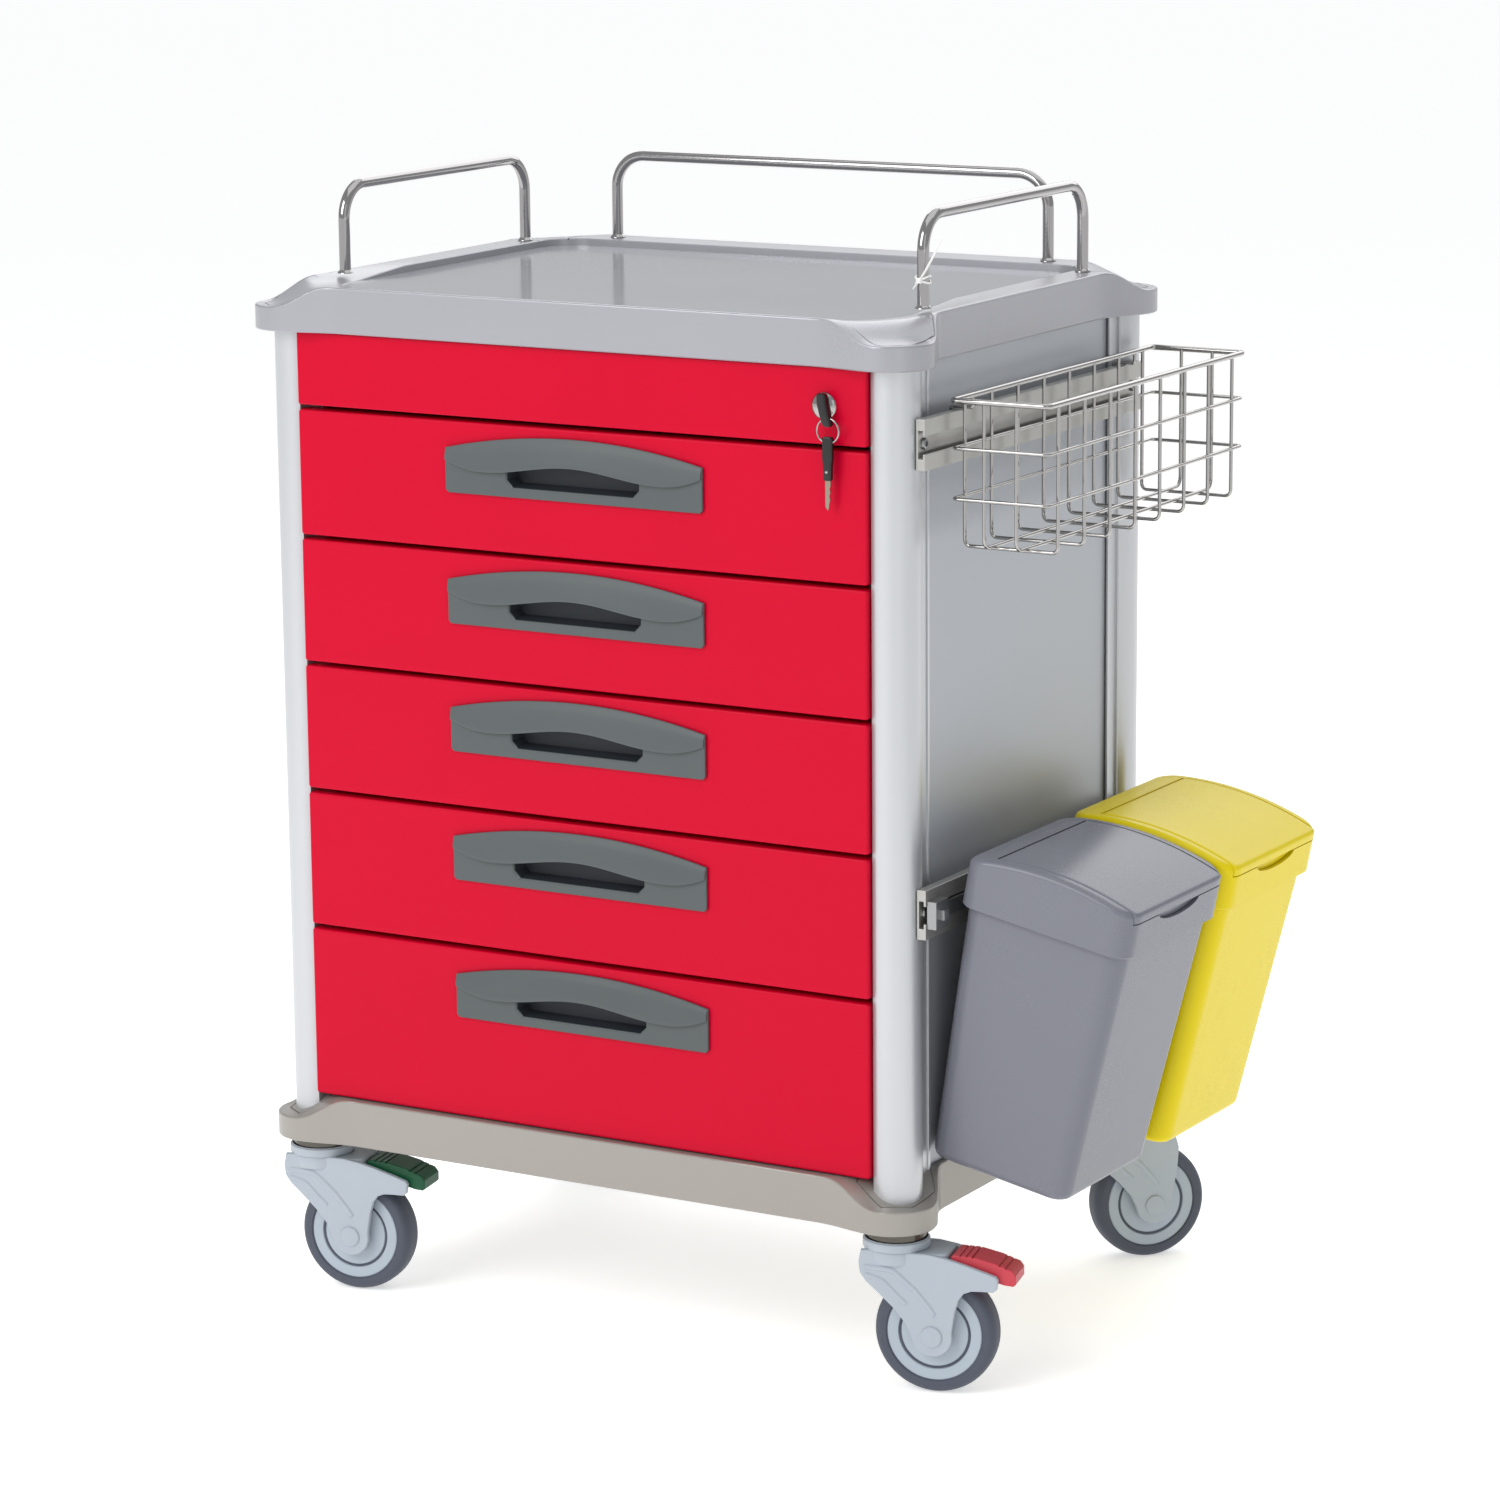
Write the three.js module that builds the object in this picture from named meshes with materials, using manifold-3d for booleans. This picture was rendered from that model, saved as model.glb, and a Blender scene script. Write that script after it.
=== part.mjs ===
// Crash cart: a drawer trolley on four casters, the front two braked, with a wire basket and two tilted bins on
// its right side.
// Millimetres, +Z up, front towards -Y, right towards +X. The layout below is measured from the drawer-front
// plane (y = 0), the middle of the fronts (x = 0) and the floor (z = 0); the whole group is then moved so that
// the origin is the middle of the underside of the object's box.
import * as THREE from 'three';
import { mergeVertices } from 'three/addons/utils/BufferGeometryUtils.js';
import Module from 'manifold-3d';

const wasm = await Module();
wasm.setup();

// ---------- driving dimensions ----------
const GAP = 0.3;                       // between pieces that touch
const GRID = 1024;                     // corners are rounded to this share of a millimetre
const COLUMN = { x: 278, front: 23, rear: 405, radius: 21, bottom: 174.3, top: 820.2 };
const TRAY = { bottom: 820.5, deck: 852.5, rim: 858.5, earTop: 841, earRadius: 34, halfWidth: 291, front: -6 };
const BASE = { bottom: 134.5, top: 174, earTop: 155, earRadius: 34, halfWidth: 292, front: -6 };
const EAR_SHIFT = 4;                   // ears sit this much further out than the columns
const SHOULDER = 58;                   // length of the curve from an ear to a straight side
const FRONT = { halfWidth: 266, thickness: 22 };
const DRAWERS = [                      // lower and upper edge of each front, top drawer first
  [652, 755.8], [546, 648.2], [438.5, 542.2], [322, 434.5], [175, 318],
];
const LOCK_PANEL = { bottom: 759.8, top: 820.2 };
const DRAWER_BOX = { halfWidth: 226, front: 22, rear: 392, wall: 2, below: 14, rimDrop: 16 };
const RUNNER = { outer: 239, height: 9, rise: 30, clearance: 1, plate: 3 };
const HANDLE = { halfWidth: 121, drop: 57.8, ends: 36.5, peak: 50.5, edge: 3, lip: 11.6 };
const HOOD = [[118, 27], [100, 21], [84, 19]];  // lower edge of the handle's overhang, from its end inwards
const GRIP = { half: 62, low: 8, sides: 20.4, peak: 27.6, depth: 13 };
const LOCK = { x: 229, z: 790, radius: 11 };
const BOW = { half: 4, near: -5, far: -12, ringDrop: 8, lean: 8, slot: 2.6, pin: 1 };  // grip of both keys
const RING = { radius: 9.6, wire: 1.6 };
const SIDE_PANEL = { inner: 284.7, outer: 287.2, front: 45, rear: 383 };
const BACK_PANEL = { halfWidth: 256, front: 400, rear: 402 };
const TUBE = 9.5;                      // diameter of the guard rails
const BEND = 28;                       // bend radius of the guard rails
const RAIL_TOP = 931.5;
const SIDE_RAIL = { x: 272, front: 81, rear: 358 };
const REAR_RAIL = { x: 212, y: 414 };
const HANG_RAIL = { inner: 299.4, outer: 307.4, height: 40, front: 18, rear: 400, lower: 371, upper: 742 };
const BASKET = { inner: 312, outer: 400, front: 46, rear: 404, bottom: 676, top: 796, wire: 3 };
const BIN = { tilt: 11.5, bottom: -14, back: -8, length: 124, width: 152, rim: 226, rimBack: -16.5,
  rimLength: 144, rimWidth: 166, wall: 2.2, floor: 3, corner: 120 };
const LID = { length: 150, width: 176, back: -19, collar: 40, top: 240, dome: 9, wall: 2.2 };
const BIN_SEAT = { x: 300.5, z: 198 };   // where both bins' own axes start
const BIN_CENTRES = { grey_bin: 127, yellow_bin: 309 };
const WHEEL = { radius: 50, width: 30, trail: 34, bore: 6.3 };
const FORK = { top: 120, crown: 26, armInner: 17.2, armOuter: 22.2, pin: 6 };
const PEDAL = { hinge: 48, hingeZ: 109, tip: 101, tipLow: 93, tipHigh: 101, width: 32 };
const CASTERS = {                      // which column each stands under, its turn and any pedal's colour
  front_left: { side: -1, end: 'front', turn: 10, pedal: 0x1f6b45 },
  front_right: { side: 1, end: 'front', turn: 14, pedal: 0xc03a45 },
  rear_left: { side: -1, end: 'rear', turn: 28 },
  rear_right: { side: 1, end: 'rear', turn: 47 },
};

// ---------- materials ----------
function finish(color, roughness, metalness = 0) {
  return new THREE.MeshStandardMaterial({ color, roughness, metalness });
}

const RED = finish(0xdc0030, 0.35);
const TRAY_GREY = finish(0xb4b5b9, 0.35, 0.3);
const BASE_GREY = finish(0xa8a49c, 0.4, 0.3);
const ALUMINIUM = finish(0xd3d6d9, 0.35, 0.9);
const PANEL_GREY = finish(0x9a9fa6, 0.4, 0.4);
const STEEL = finish(0xc8cacc, 0.2, 1);
const HANDLE_GREY = finish(0x666b6c, 0.45);
const BOX_GREY = finish(0xc9cbcc, 0.5);
const CASTER_GREY = finish(0xa3abb3, 0.5);
const TYRE = finish(0x575b68, 0.7);
const BLACK = finish(0x151515, 0.4);
const BIN_GREY = finish(0x7a7a80, 0.35);
const BIN_YELLOW = finish(0xe2d818, 0.35);

// ---------- solids ----------
function asSolid(geometry) {
  geometry.deleteAttribute('normal');
  geometry.deleteAttribute('uv');
  const corners = geometry.attributes.position.array;
  corners.forEach((value, i) => { corners[i] = Math.round(value * GRID) / GRID; });
  const merged = mergeVertices(geometry, 1e-3);
  return new wasm.Manifold(new wasm.Mesh({
    numProp: 3,
    vertProperties: merged.attributes.position.array,
    triVerts: new Uint32Array(merged.index.array),
  }));
}

function asGeometry(solid) {
  const mesh = solid.getMesh();
  const geometry = new THREE.BufferGeometry();
  geometry.setAttribute('position', new THREE.BufferAttribute(new Float32Array(mesh.vertProperties), 3));
  geometry.setIndex(new THREE.BufferAttribute(new Uint32Array(mesh.triVerts), 1));
  return geometry;
}

const join = (first, ...others) => others.reduce((sum, solid) => sum.add(solid), first);
const cut = (first, ...others) => others.reduce((rest, solid) => rest.subtract(solid), first);

// A box between two values on each axis.
function block(x0, x1, y0, y1, z0, z1) {
  const geometry = new THREE.BoxGeometry(x1 - x0, y1 - y0, z1 - z0);
  return asSolid(geometry.translate((x0 + x1) / 2, (y0 + y1) / 2, (z0 + z1) / 2));
}

// A shape drawn in plan, pulled up from z0 to z1.
function plate(shape, z0, z1, curveSegments = 8) {
  const geometry = new THREE.ExtrudeGeometry(shape, { depth: z1 - z0, bevelEnabled: false, curveSegments });
  return asSolid(geometry.translate(0, 0, z0));
}

// A shape drawn in the x-z plane, pulled from y0 back to y1.
function slab(shape, y0, y1, curveSegments = 8) {
  const geometry = new THREE.ExtrudeGeometry(shape, { depth: y1 - y0, bevelEnabled: false, curveSegments });
  return asSolid(geometry.rotateX(Math.PI / 2).translate(0, y1, 0));
}

// A round bar along z.
function post(x, y, z0, z1, radius, sides = 24) {
  const geometry = new THREE.CylinderGeometry(radius, radius, z1 - z0, sides);
  return asSolid(geometry.rotateX(Math.PI / 2).translate(x, y, (z0 + z1) / 2));
}

// A round bar along y.
function pin(x, z, y0, y1, radius, sides = 24) {
  const geometry = new THREE.CylinderGeometry(radius, radius, y1 - y0, sides);
  return asSolid(geometry.translate(x, (y0 + y1) / 2, z));
}

// A round tube along a path, as a solid bar.
function tube(path, diameter, steps, sides = 8) {
  const section = new THREE.Shape();
  for (let i = 0; i < sides; i += 1) {
    const angle = (2 * Math.PI * (i + 0.5)) / sides;
    const point = [diameter / 2 * Math.cos(angle), diameter / 2 * Math.sin(angle)];
    if (i === 0) section.moveTo(...point);
    else section.lineTo(...point);
  }
  return asSolid(new THREE.ExtrudeGeometry(section, { steps, extrudePath: path, bevelEnabled: false }));
}

function polygon(points) {
  const shape = new THREE.Shape();
  shape.setFromPoints(points.map(([x, y]) => new THREE.Vector2(x, y)));
  return shape;
}

// A rectangle with round corners, from (x0, y0) to (x1, y1).
function roundRect(x0, x1, y0, y1, radius) {
  const shape = new THREE.Shape();
  shape.moveTo(x0 + radius, y0);
  shape.lineTo(x1 - radius, y0);
  shape.absarc(x1 - radius, y0 + radius, radius, -Math.PI / 2, 0);
  shape.lineTo(x1, y1 - radius);
  shape.absarc(x1 - radius, y1 - radius, radius, 0, Math.PI / 2);
  shape.lineTo(x0 + radius, y1);
  shape.absarc(x0 + radius, y1 - radius, radius, Math.PI / 2, Math.PI);
  shape.lineTo(x0, y0 + radius);
  shape.absarc(x0 + radius, y0 + radius, radius, Math.PI, 1.5 * Math.PI);
  return shape;
}

// ---------- scene graph ----------
const cart = new THREE.Group();

function add(parent, name, solid, material) {
  const mesh = new THREE.Mesh(asGeometry(solid), material);
  mesh.name = name;
  parent.add(mesh);
  return mesh;
}

const CORNERS = {
  front_left: [-1, 'front'],
  front_right: [1, 'front'],
  rear_left: [-1, 'rear'],
  rear_right: [1, 'rear'],
};

// ---------- trays ----------
// Each tray is a slab with straight sides, a lower round ear over every column and an S-shaped shoulder
// between the two. One quarter of the outline is worked out about the tray's middle and mirrored.
const MIDDLE = (COLUMN.front + COLUMN.rear) / 2;

function shoulder(from, to, steps = 6) {
  const points = [];
  for (let i = 0; i < steps; i += 1) {
    const t = i / steps;
    const ease = (1 - Math.cos(Math.PI * t)) / 2;
    const along = Math.abs(to[0] - from[0]) > Math.abs(to[1] - from[1]);
    points.push([
      from[0] + (along ? t : ease) * (to[0] - from[0]),
      from[1] + (along ? ease : t) * (to[1] - from[1]),
    ]);
  }
  return points;
}

function quarterOutline(tray) {
  const radius = tray.earRadius;
  const centre = [COLUMN.x, COLUMN.rear + EAR_SHIFT - MIDDLE];
  const halfDepth = MIDDLE - tray.front;
  const arc = [];
  for (let angle = 0; angle < 90; angle += 9) {
    const turn = THREE.MathUtils.degToRad(angle);
    arc.push([centre[0] + radius * Math.cos(turn), centre[1] + radius * Math.sin(turn)]);
  }
  const side = shoulder([tray.halfWidth, centre[1] - SHOULDER], [centre[0] + radius, centre[1]]);
  const face = shoulder([centre[0], centre[1] + radius], [centre[0] - SHOULDER, halfDepth]);
  return [...side, ...arc, ...face, [centre[0] - SHOULDER, halfDepth]];
}

function trayOutline(tray) {
  const quarter = quarterOutline(tray);
  const flipped = [...quarter].reverse();
  return [
    ...quarter,
    ...flipped.map(([x, y]) => [-x, y]),
    ...quarter.map(([x, y]) => [-x, -y]),
    ...flipped.map(([x, y]) => [x, -y]),
  ].map(([x, y]) => [x, y + MIDDLE]);
}

function trayBody(tray, full) {
  const rear = 2 * MIDDLE - tray.front;
  const deck = roundRect(-tray.halfWidth, tray.halfWidth, tray.front, rear, 62);
  const slabBody = plate(polygon(trayOutline(tray)), tray.bottom, tray.earTop);
  return join(slabBody, plate(deck, tray.earTop - 6, full, 10));
}

function topTray() {
  const rear = 2 * MIDDLE - TRAY.front;
  const well = roundRect(-TRAY.halfWidth + 38, TRAY.halfWidth - 38, 24, rear - 36, 26);
  const frontStep = block(-230, 230, TRAY.front - 20, 25, TRAY.deck, TRAY.rim + 1);
  return cut(trayBody(TRAY, TRAY.rim), plate(well, TRAY.deck, TRAY.rim + 1), frontStep);
}

// ---------- frame ----------
// Round aluminium section with a thin flange that covers the edge of the side panel.
function column(side, end) {
  const towards = end === 'front' ? 1 : -1;
  const y = COLUMN[end];
  const { bottom, top, radius } = COLUMN;
  let solid = post(side * COLUMN.x, y, bottom, top, radius, 40);
  const [f0, f1] = [SIDE_PANEL.outer + GAP, SIDE_PANEL.outer + 2];
  const flange = block(Math.min(side * f0, side * f1), Math.max(side * f0, side * f1),
    Math.min(y + towards * 15, y + towards * 35), Math.max(y + towards * 15, y + towards * 35), bottom, top);
  solid = join(solid, flange);
  if (end === 'front') {
    const notch = FRONT.halfWidth + 1.2;
    solid = cut(solid, block(Math.min(side * notch, side * 200), Math.max(side * notch, side * 200),
      -30, FRONT.thickness + 1, bottom - 1, top + 1));
  }
  return solid;
}

function sidePanel(side) {
  const [a, b] = [side * SIDE_PANEL.inner, side * SIDE_PANEL.outer];
  return block(Math.min(a, b), Math.max(a, b), SIDE_PANEL.front, SIDE_PANEL.rear, COLUMN.bottom, COLUMN.top);
}

// Inner side plate with a C-shaped channel for every drawer, on four spacers off the side panel.
function runnerRack(side) {
  const { outer, plate: thick, height, clearance } = RUNNER;
  const x0 = outer + clearance;
  let rack = block(x0, x0 + thick, 50, 394, 180, 757);
  for (const [bottom] of DRAWERS) {
    const z = bottom + DRAWER_BOX.below + RUNNER.rise;
    for (const ledge of [z - clearance - 2, z + height + clearance]) {
      rack = join(rack, block(x0 - 9, x0 + 0.5, 50, 394, ledge, ledge + 2));
    }
  }
  for (const y of [90, 320]) {
    for (const z of [230, 600]) {
      rack = join(rack, block(x0 + thick - 0.5, SIDE_PANEL.inner - GAP, y, y + 14, z, z + 14));
    }
  }
  return side > 0 ? rack : rack.mirror([1, 0, 0]);
}

function backPanel() {
  const { halfWidth, front, rear } = BACK_PANEL;
  return block(-halfWidth, halfWidth, front, rear, COLUMN.bottom, COLUMN.top);
}

// ---------- rails ----------
function arch(corners) {
  const path = new THREE.CurvePath();
  const [foot, first, second, end] = corners;
  const near = (from, to) => from.clone().add(to.clone().sub(from).setLength(BEND));
  const bend = (before, corner, after) => new THREE.QuadraticBezierCurve3(near(corner, before), corner,
    near(corner, after));
  path.add(new THREE.LineCurve3(foot, near(first, foot)));
  path.add(bend(foot, first, second));
  path.add(new THREE.LineCurve3(near(first, second), near(second, first)));
  path.add(bend(first, second, end));
  path.add(new THREE.LineCurve3(near(second, end), end));
  return path;
}

function guardRail(x0, y0, x1, y1, steps) {
  const foot = TRAY.rim + GAP;
  const at = (x, y, z) => new THREE.Vector3(x, y, z);
  const corners = [at(x0, y0, foot), at(x0, y0, RAIL_TOP), at(x1, y1, RAIL_TOP), at(x1, y1, foot)];
  return tube(arch(corners), TUBE, steps);
}

// Aluminium section with an undercut slot along its outer face.
function hangRail(z) {
  const { inner, outer, height, front, rear } = HANG_RAIL;
  const shape = polygon([
    [inner, z], [outer, z], [outer, z + 13], [outer - 2, z + 13], [outer - 2, z + 9], [inner + 2, z + 9],
    [inner + 2, z + height - 9], [outer - 2, z + height - 9], [outer - 2, z + height - 13],
    [outer, z + height - 13], [outer, z + height], [inner, z + height],
  ]);
  return slab(shape, front, rear);
}

// Bar with two clamps that the bins hang on.
function binHanger() {
  const x = HANG_RAIL.outer + GAP;
  const z = HANG_RAIL.lower;
  let hanger = block(x, x + 3, 34, 396, z + 14, z + 26);
  for (const y of [20, 386]) {
    hanger = join(hanger, block(x, x + 8, y, y + 20, z + 9, z + 31));
    hanger = join(hanger, block(x + 7.5, x + 12, y + 6, y + 14, z + 16, z + 24));
  }
  return hanger;
}

// ---------- drawers ----------
function drawerFront([bottom, top]) {
  const { halfWidth, thickness } = FRONT;
  const front = block(-halfWidth, halfWidth, 0, thickness, bottom, top);
  return cut(front, slab(gripShape(top - HANDLE.drop, 2), -1, GRIP.depth));
}

// A quadratic curve from the current point to its mirror image, rising to a peak at x = 0.
function archTo(shape, half, ends, peak) {
  shape.quadraticCurveTo(0, 2 * peak - ends, -half, ends);
}

// The finger opening above the handle's lower edge z: flat below, arched above.
function gripShape(z, grow = 0) {
  const half = GRIP.half + grow;
  const shape = new THREE.Shape();
  shape.moveTo(-half, z + GRIP.low - grow);
  shape.lineTo(half, z + GRIP.low - grow);
  shape.lineTo(half, z + GRIP.sides + grow);
  archTo(shape, half, z + GRIP.sides + grow, z + GRIP.peak + grow);
  shape.closePath();
  return shape;
}

// A plate with an arched top, and an overhang along it that the fingers pull on.
function drawerHandle(top) {
  const { halfWidth: half, drop, ends, peak, edge, lip } = HANDLE;
  const z = top - drop;
  const outline = new THREE.Shape();
  outline.moveTo(-half, z);
  outline.lineTo(half, z);
  outline.lineTo(half, z + ends);
  archTo(outline, half, z + ends, z + peak);
  outline.closePath();
  const hood = new THREE.Shape();
  const [end] = HOOD;
  hood.moveTo(-end[0], z + end[1]);
  HOOD.slice(1).forEach(([x, rise]) => hood.lineTo(-x, z + rise));
  [...HOOD].reverse().forEach(([x, rise]) => hood.lineTo(x, z + rise));
  hood.lineTo(end[0], z + ends - 1);
  archTo(hood, end[0], z + ends - 1, z + peak - 2);
  hood.closePath();
  const body = join(slab(outline, -edge, -GAP), slab(hood, -lip, -edge + 0.5));
  return cut(body, slab(gripShape(z), -lip - 1, 1));
}

// Open tray behind each front, with a runner bar along each side.
function drawerBox([bottom, top]) {
  const { halfWidth, front, rear, wall, below, rimDrop } = DRAWER_BOX;
  const floor = bottom + below;
  const outer = block(-halfWidth, halfWidth, front + GAP, rear, floor, top - rimDrop);
  const inner = halfWidth - wall;
  const inside = block(-inner, inner, front + GAP + wall, rear - wall, floor + wall, top);
  let box = cut(outer, inside);
  const z = floor + RUNNER.rise;
  for (const side of [-1, 1]) {
    const [a, b] = [side * (halfWidth - 0.5), side * RUNNER.outer];
    box = join(box, block(Math.min(a, b), Math.max(a, b), front + 20, rear, z, z + RUNNER.height));
  }
  return box;
}

// ---------- lock ----------
function lockBody() {
  const { x, z, radius } = LOCK;
  const bezel = pin(x, z, -3, -GAP, radius);
  return join(bezel, pin(x, z, -1, 24, radius - 2));
}

function lockPanel() {
  const { halfWidth, thickness } = FRONT;
  const panel = block(-halfWidth - 1, halfWidth + 1, 0, thickness, LOCK_PANEL.bottom, LOCK_PANEL.top);
  return cut(panel, pin(LOCK.x, LOCK.z, -1, thickness + 1, LOCK.radius - 1.7));
}

// Key in the lock, folded so that its grip hangs down over the lock's face. The lower end is slotted around a
// cross pin that carries the key ring, so the ring stays upright while the key turns.
function keyInLock() {
  const { x, z } = LOCK;
  const { half, near, far, ringDrop, lean, slot } = BOW;
  const middle = (near + far) / 2;
  const [low, high] = [z - ringDrop - 7, z + 11];
  const bow = slab(polygon([
    [x - half, high], [x - half, z], [x + lean - half, low], [x + lean + half, low], [x + half, z], [x + half, high],
  ]), far, near);
  const shank = block(x - 1, x + 1, near - 1, -3 - GAP, z - 3, z + 3);
  const gap = block(x - half, x + lean + half + 1, middle - slot / 2, middle + slot / 2, low - 1, z + 1);
  const ringPin = pin(x + lean, z - ringDrop - RING.wire / 2 - BOW.pin - 0.2, far + 0.5, near - 0.5, BOW.pin, 12);
  return join(cut(join(bow, shank), gap), ringPin);
}

// A split ring around the cross pin, with the second key hanging from it.
function spareKey() {
  const { half, near, far, ringDrop, lean } = BOW;
  const [x, z] = [LOCK.x + lean, LOCK.z];
  const middle = (near + far) / 2;
  const centre = z - ringDrop - RING.radius;
  const ring = new THREE.TorusGeometry(RING.radius, RING.wire / 2, 6, 18);
  ring.rotateX(Math.PI / 2).translate(x, middle, centre);
  const low = centre - RING.radius;
  const bow = block(x - half, x + half, far + 0.5, near - 0.5, low - 29, low + 5);
  const blade = block(x - 2.5, x + 2.5, middle - 0.8, middle + 0.8, low - 53, low - 28);
  return join(asSolid(ring), bow, blade);
}

// Bar behind the right edge of the fronts, with a hook for every drawer.
function lockBar() {
  let bar = block(251.5, 254.5, 28, 40, 190, 806);
  for (const [bottom] of DRAWERS) bar = join(bar, block(249, 252, 28, 36, bottom + 60, bottom + 68));
  return bar;
}

// ---------- basket ----------
// A wire between two points, as a slim square bar lying along one axis.
function wire(x0, x1, y0, y1, z0, z1) {
  const half = BASKET.wire / 2;
  return block(x0 - half, x1 + half, y0 - half, y1 + half, z0 - half, z1 + half);
}

function wireLoop(x0, x1, y0, y1, z) {
  return join(wire(x0, x1, y0, y0, z, z), wire(x0, x1, y1, y1, z, z), wire(x0, x0, y0, y1, z, z),
    wire(x1, x1, y0, y1, z, z));
}

function basket() {
  const half = BASKET.wire / 2;
  const [x0, x1, y0, y1] = [BASKET.inner + half, BASKET.outer - half, BASKET.front + half, BASKET.rear - half];
  const [bottom, top] = [BASKET.bottom + half, BASKET.top - half];
  let body = wireLoop(x0, x1, y0, y1, top);
  for (const level of [0.34, 0.66]) {
    body = join(body, wireLoop(x0, x1, y0, y1, top + level * (bottom - top)));
  }
  const hoops = 8;
  const lap = 0.8;                     // crossing wires lie this far inside each other's faces
  for (let i = 0; i < hoops; i += 1) {
    const y = y0 + 20 + (i * (y1 - y0 - 40)) / (hoops - 1);
    body = join(body, wire(x0 + lap, x0 + lap, y, y, bottom, top - lap),
      wire(x1 - lap, x1 - lap, y, y, bottom, top - lap), wire(x0 + lap, x1 - lap, y, y, bottom, bottom));
  }
  for (const x of [x0 + 28, x1 - 28]) {
    body = join(body, wire(x, x, y0 + lap, y1 - lap, bottom + lap, bottom + lap),
      wire(x, x, y0 + lap, y0 + lap, bottom + lap, top - lap), wire(x, x, y1 - lap, y1 - lap, bottom + lap, top - lap));
  }
  const over = HANG_RAIL.upper + HANG_RAIL.height + GAP + half;
  for (const y of [y0 + 35, y1 - 35]) {
    body = join(body, wire(x0, x0, y, y, over, top - lap), wire(296, x0, y, y, over, over),
      wire(296, 296, y, y, over - 16, over));
  }
  return body;
}

// ---------- bins ----------
// A straight-sided tub that widens towards the top, centred on y = 0.
function frustum(lower, upper, z0, z1, radius) {
  const shape = roundRect(0, 1000, -500, 500, radius);
  const geometry = new THREE.ExtrudeGeometry(shape, { depth: z1 - z0, bevelEnabled: false, curveSegments: 4 });
  const position = geometry.attributes.position;
  for (let i = 0; i < position.count; i += 1) {
    const t = position.getZ(i) / (z1 - z0);
    const [back, length, width] = [0, 1, 2].map((k) => lower[k] + t * (upper[k] - lower[k]));
    position.setX(i, back + (position.getX(i) / 1000) * length);
    position.setY(i, (position.getY(i) / 1000) * width);
    position.setZ(i, z0 + t * (z1 - z0));
  }
  return asSolid(geometry);
}

function bucket() {
  const { bottom, back, length, width, rim, rimBack, rimLength, rimWidth, wall, floor, corner } = BIN;
  const outer = frustum([back, length, width], [rimBack, rimLength, rimWidth], bottom, rim, corner);
  const inner = frustum([back + wall, length - 2 * wall, width - 2 * wall],
    [rimBack + wall, rimLength - 2 * wall, rimWidth - 2 * wall], bottom + floor, rim + 1, corner);
  return cut(outer, inner);
}

// The domed outline of the lid seen from the side.
function lidProfile(x0, x1, z0, lift = 0) {
  const shape = new THREE.Shape();
  const top = LID.top + lift;
  shape.moveTo(x0, z0);
  shape.lineTo(x1, z0);
  shape.lineTo(x1, top - 4);
  shape.quadraticCurveTo(x0 + 0.42 * (x1 - x0), top + 2 * LID.dome, x0, top - 2);
  shape.closePath();
  return shape;
}

const LID_PLAN = roundRect(LID.back, LID.back + LID.length, -LID.width / 2, LID.width / 2, 18);
const FLAP = { back: 24, lip: 12 };

// Collar around the tub's rim with a fixed strip at the back that carries the flap.
function lidFrame() {
  const { length, width, back, collar, top, wall } = LID;
  const z0 = top - collar;
  const body = slab(lidProfile(back, back + length, z0), -width / 2, width / 2);
  const clip = plate(LID_PLAN, z0 - 1, top + 30, 5);
  const inside = frustum([back + wall, length - 2 * wall, width - 2 * wall],
    [back + wall, length - 2 * wall, width - 2 * wall], z0 - 1, top - 6, 110);
  const opening = block(back + FLAP.back - 1, back + length + 1, -width / 2 - 1, width / 2 + 1, top - FLAP.lip,
    top + 30);
  return cut(body.intersect(clip), inside, opening);
}

function lidFlap() {
  const { length, width, back, top } = LID;
  const [x0, x1] = [back + FLAP.back, back + length];
  const body = slab(lidProfile(back, x1, top - FLAP.lip + GAP), -width / 2, width / 2);
  const plan = plate(LID_PLAN, top - 20, top + 30, 5).intersect(block(x0, x1 + 1, -width, width, top - 21, top + 31));
  const under = slab(lidProfile(back - 10, x1 - 2.5, top - 40, -2.5), -width / 2 + 2.5, width / 2 - 2.5);
  return cut(body.intersect(plan), under);
}

function addBins() {
  for (const [name, y] of Object.entries(BIN_CENTRES)) {
    const material = name === 'grey_bin' ? BIN_GREY : BIN_YELLOW;
    const bin = new THREE.Group();
    bin.position.set(BIN_SEAT.x, y, BIN_SEAT.z);
    bin.rotation.y = THREE.MathUtils.degToRad(BIN.tilt);
    add(bin, `${name}_bucket`, bucket(), material);
    add(bin, `${name}_lid_frame`, lidFrame(), material);
    add(bin, `${name}_lid_flap`, lidFlap(), material);
    cart.add(bin);
  }
}

// ---------- casters ----------
// Each caster is drawn about its own stem: the wheel trails towards +x, its axle lies along y.
function casterStem() {
  const plateRing = post(0, 0, FORK.top + GAP, BASE.bottom - GAP, 24, 28);
  return join(plateRing, post(0, 0, FORK.top - 12, BASE.bottom - 1, 9, 20));
}

function armShape() {
  const shape = new THREE.Shape();
  const axle = { x: WHEEL.trail, z: WHEEL.radius };
  shape.moveTo(-22, FORK.top);
  shape.lineTo(50, FORK.top - 3);
  shape.quadraticCurveTo(58, FORK.top - 26, axle.x + 17, axle.z + 4);
  shape.absarc(axle.x, axle.z, 17, 0.2, -Math.PI * 0.85, true);
  shape.quadraticCurveTo(8, 78, -22, FORK.top - 16);
  shape.closePath();
  return shape;
}

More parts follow.
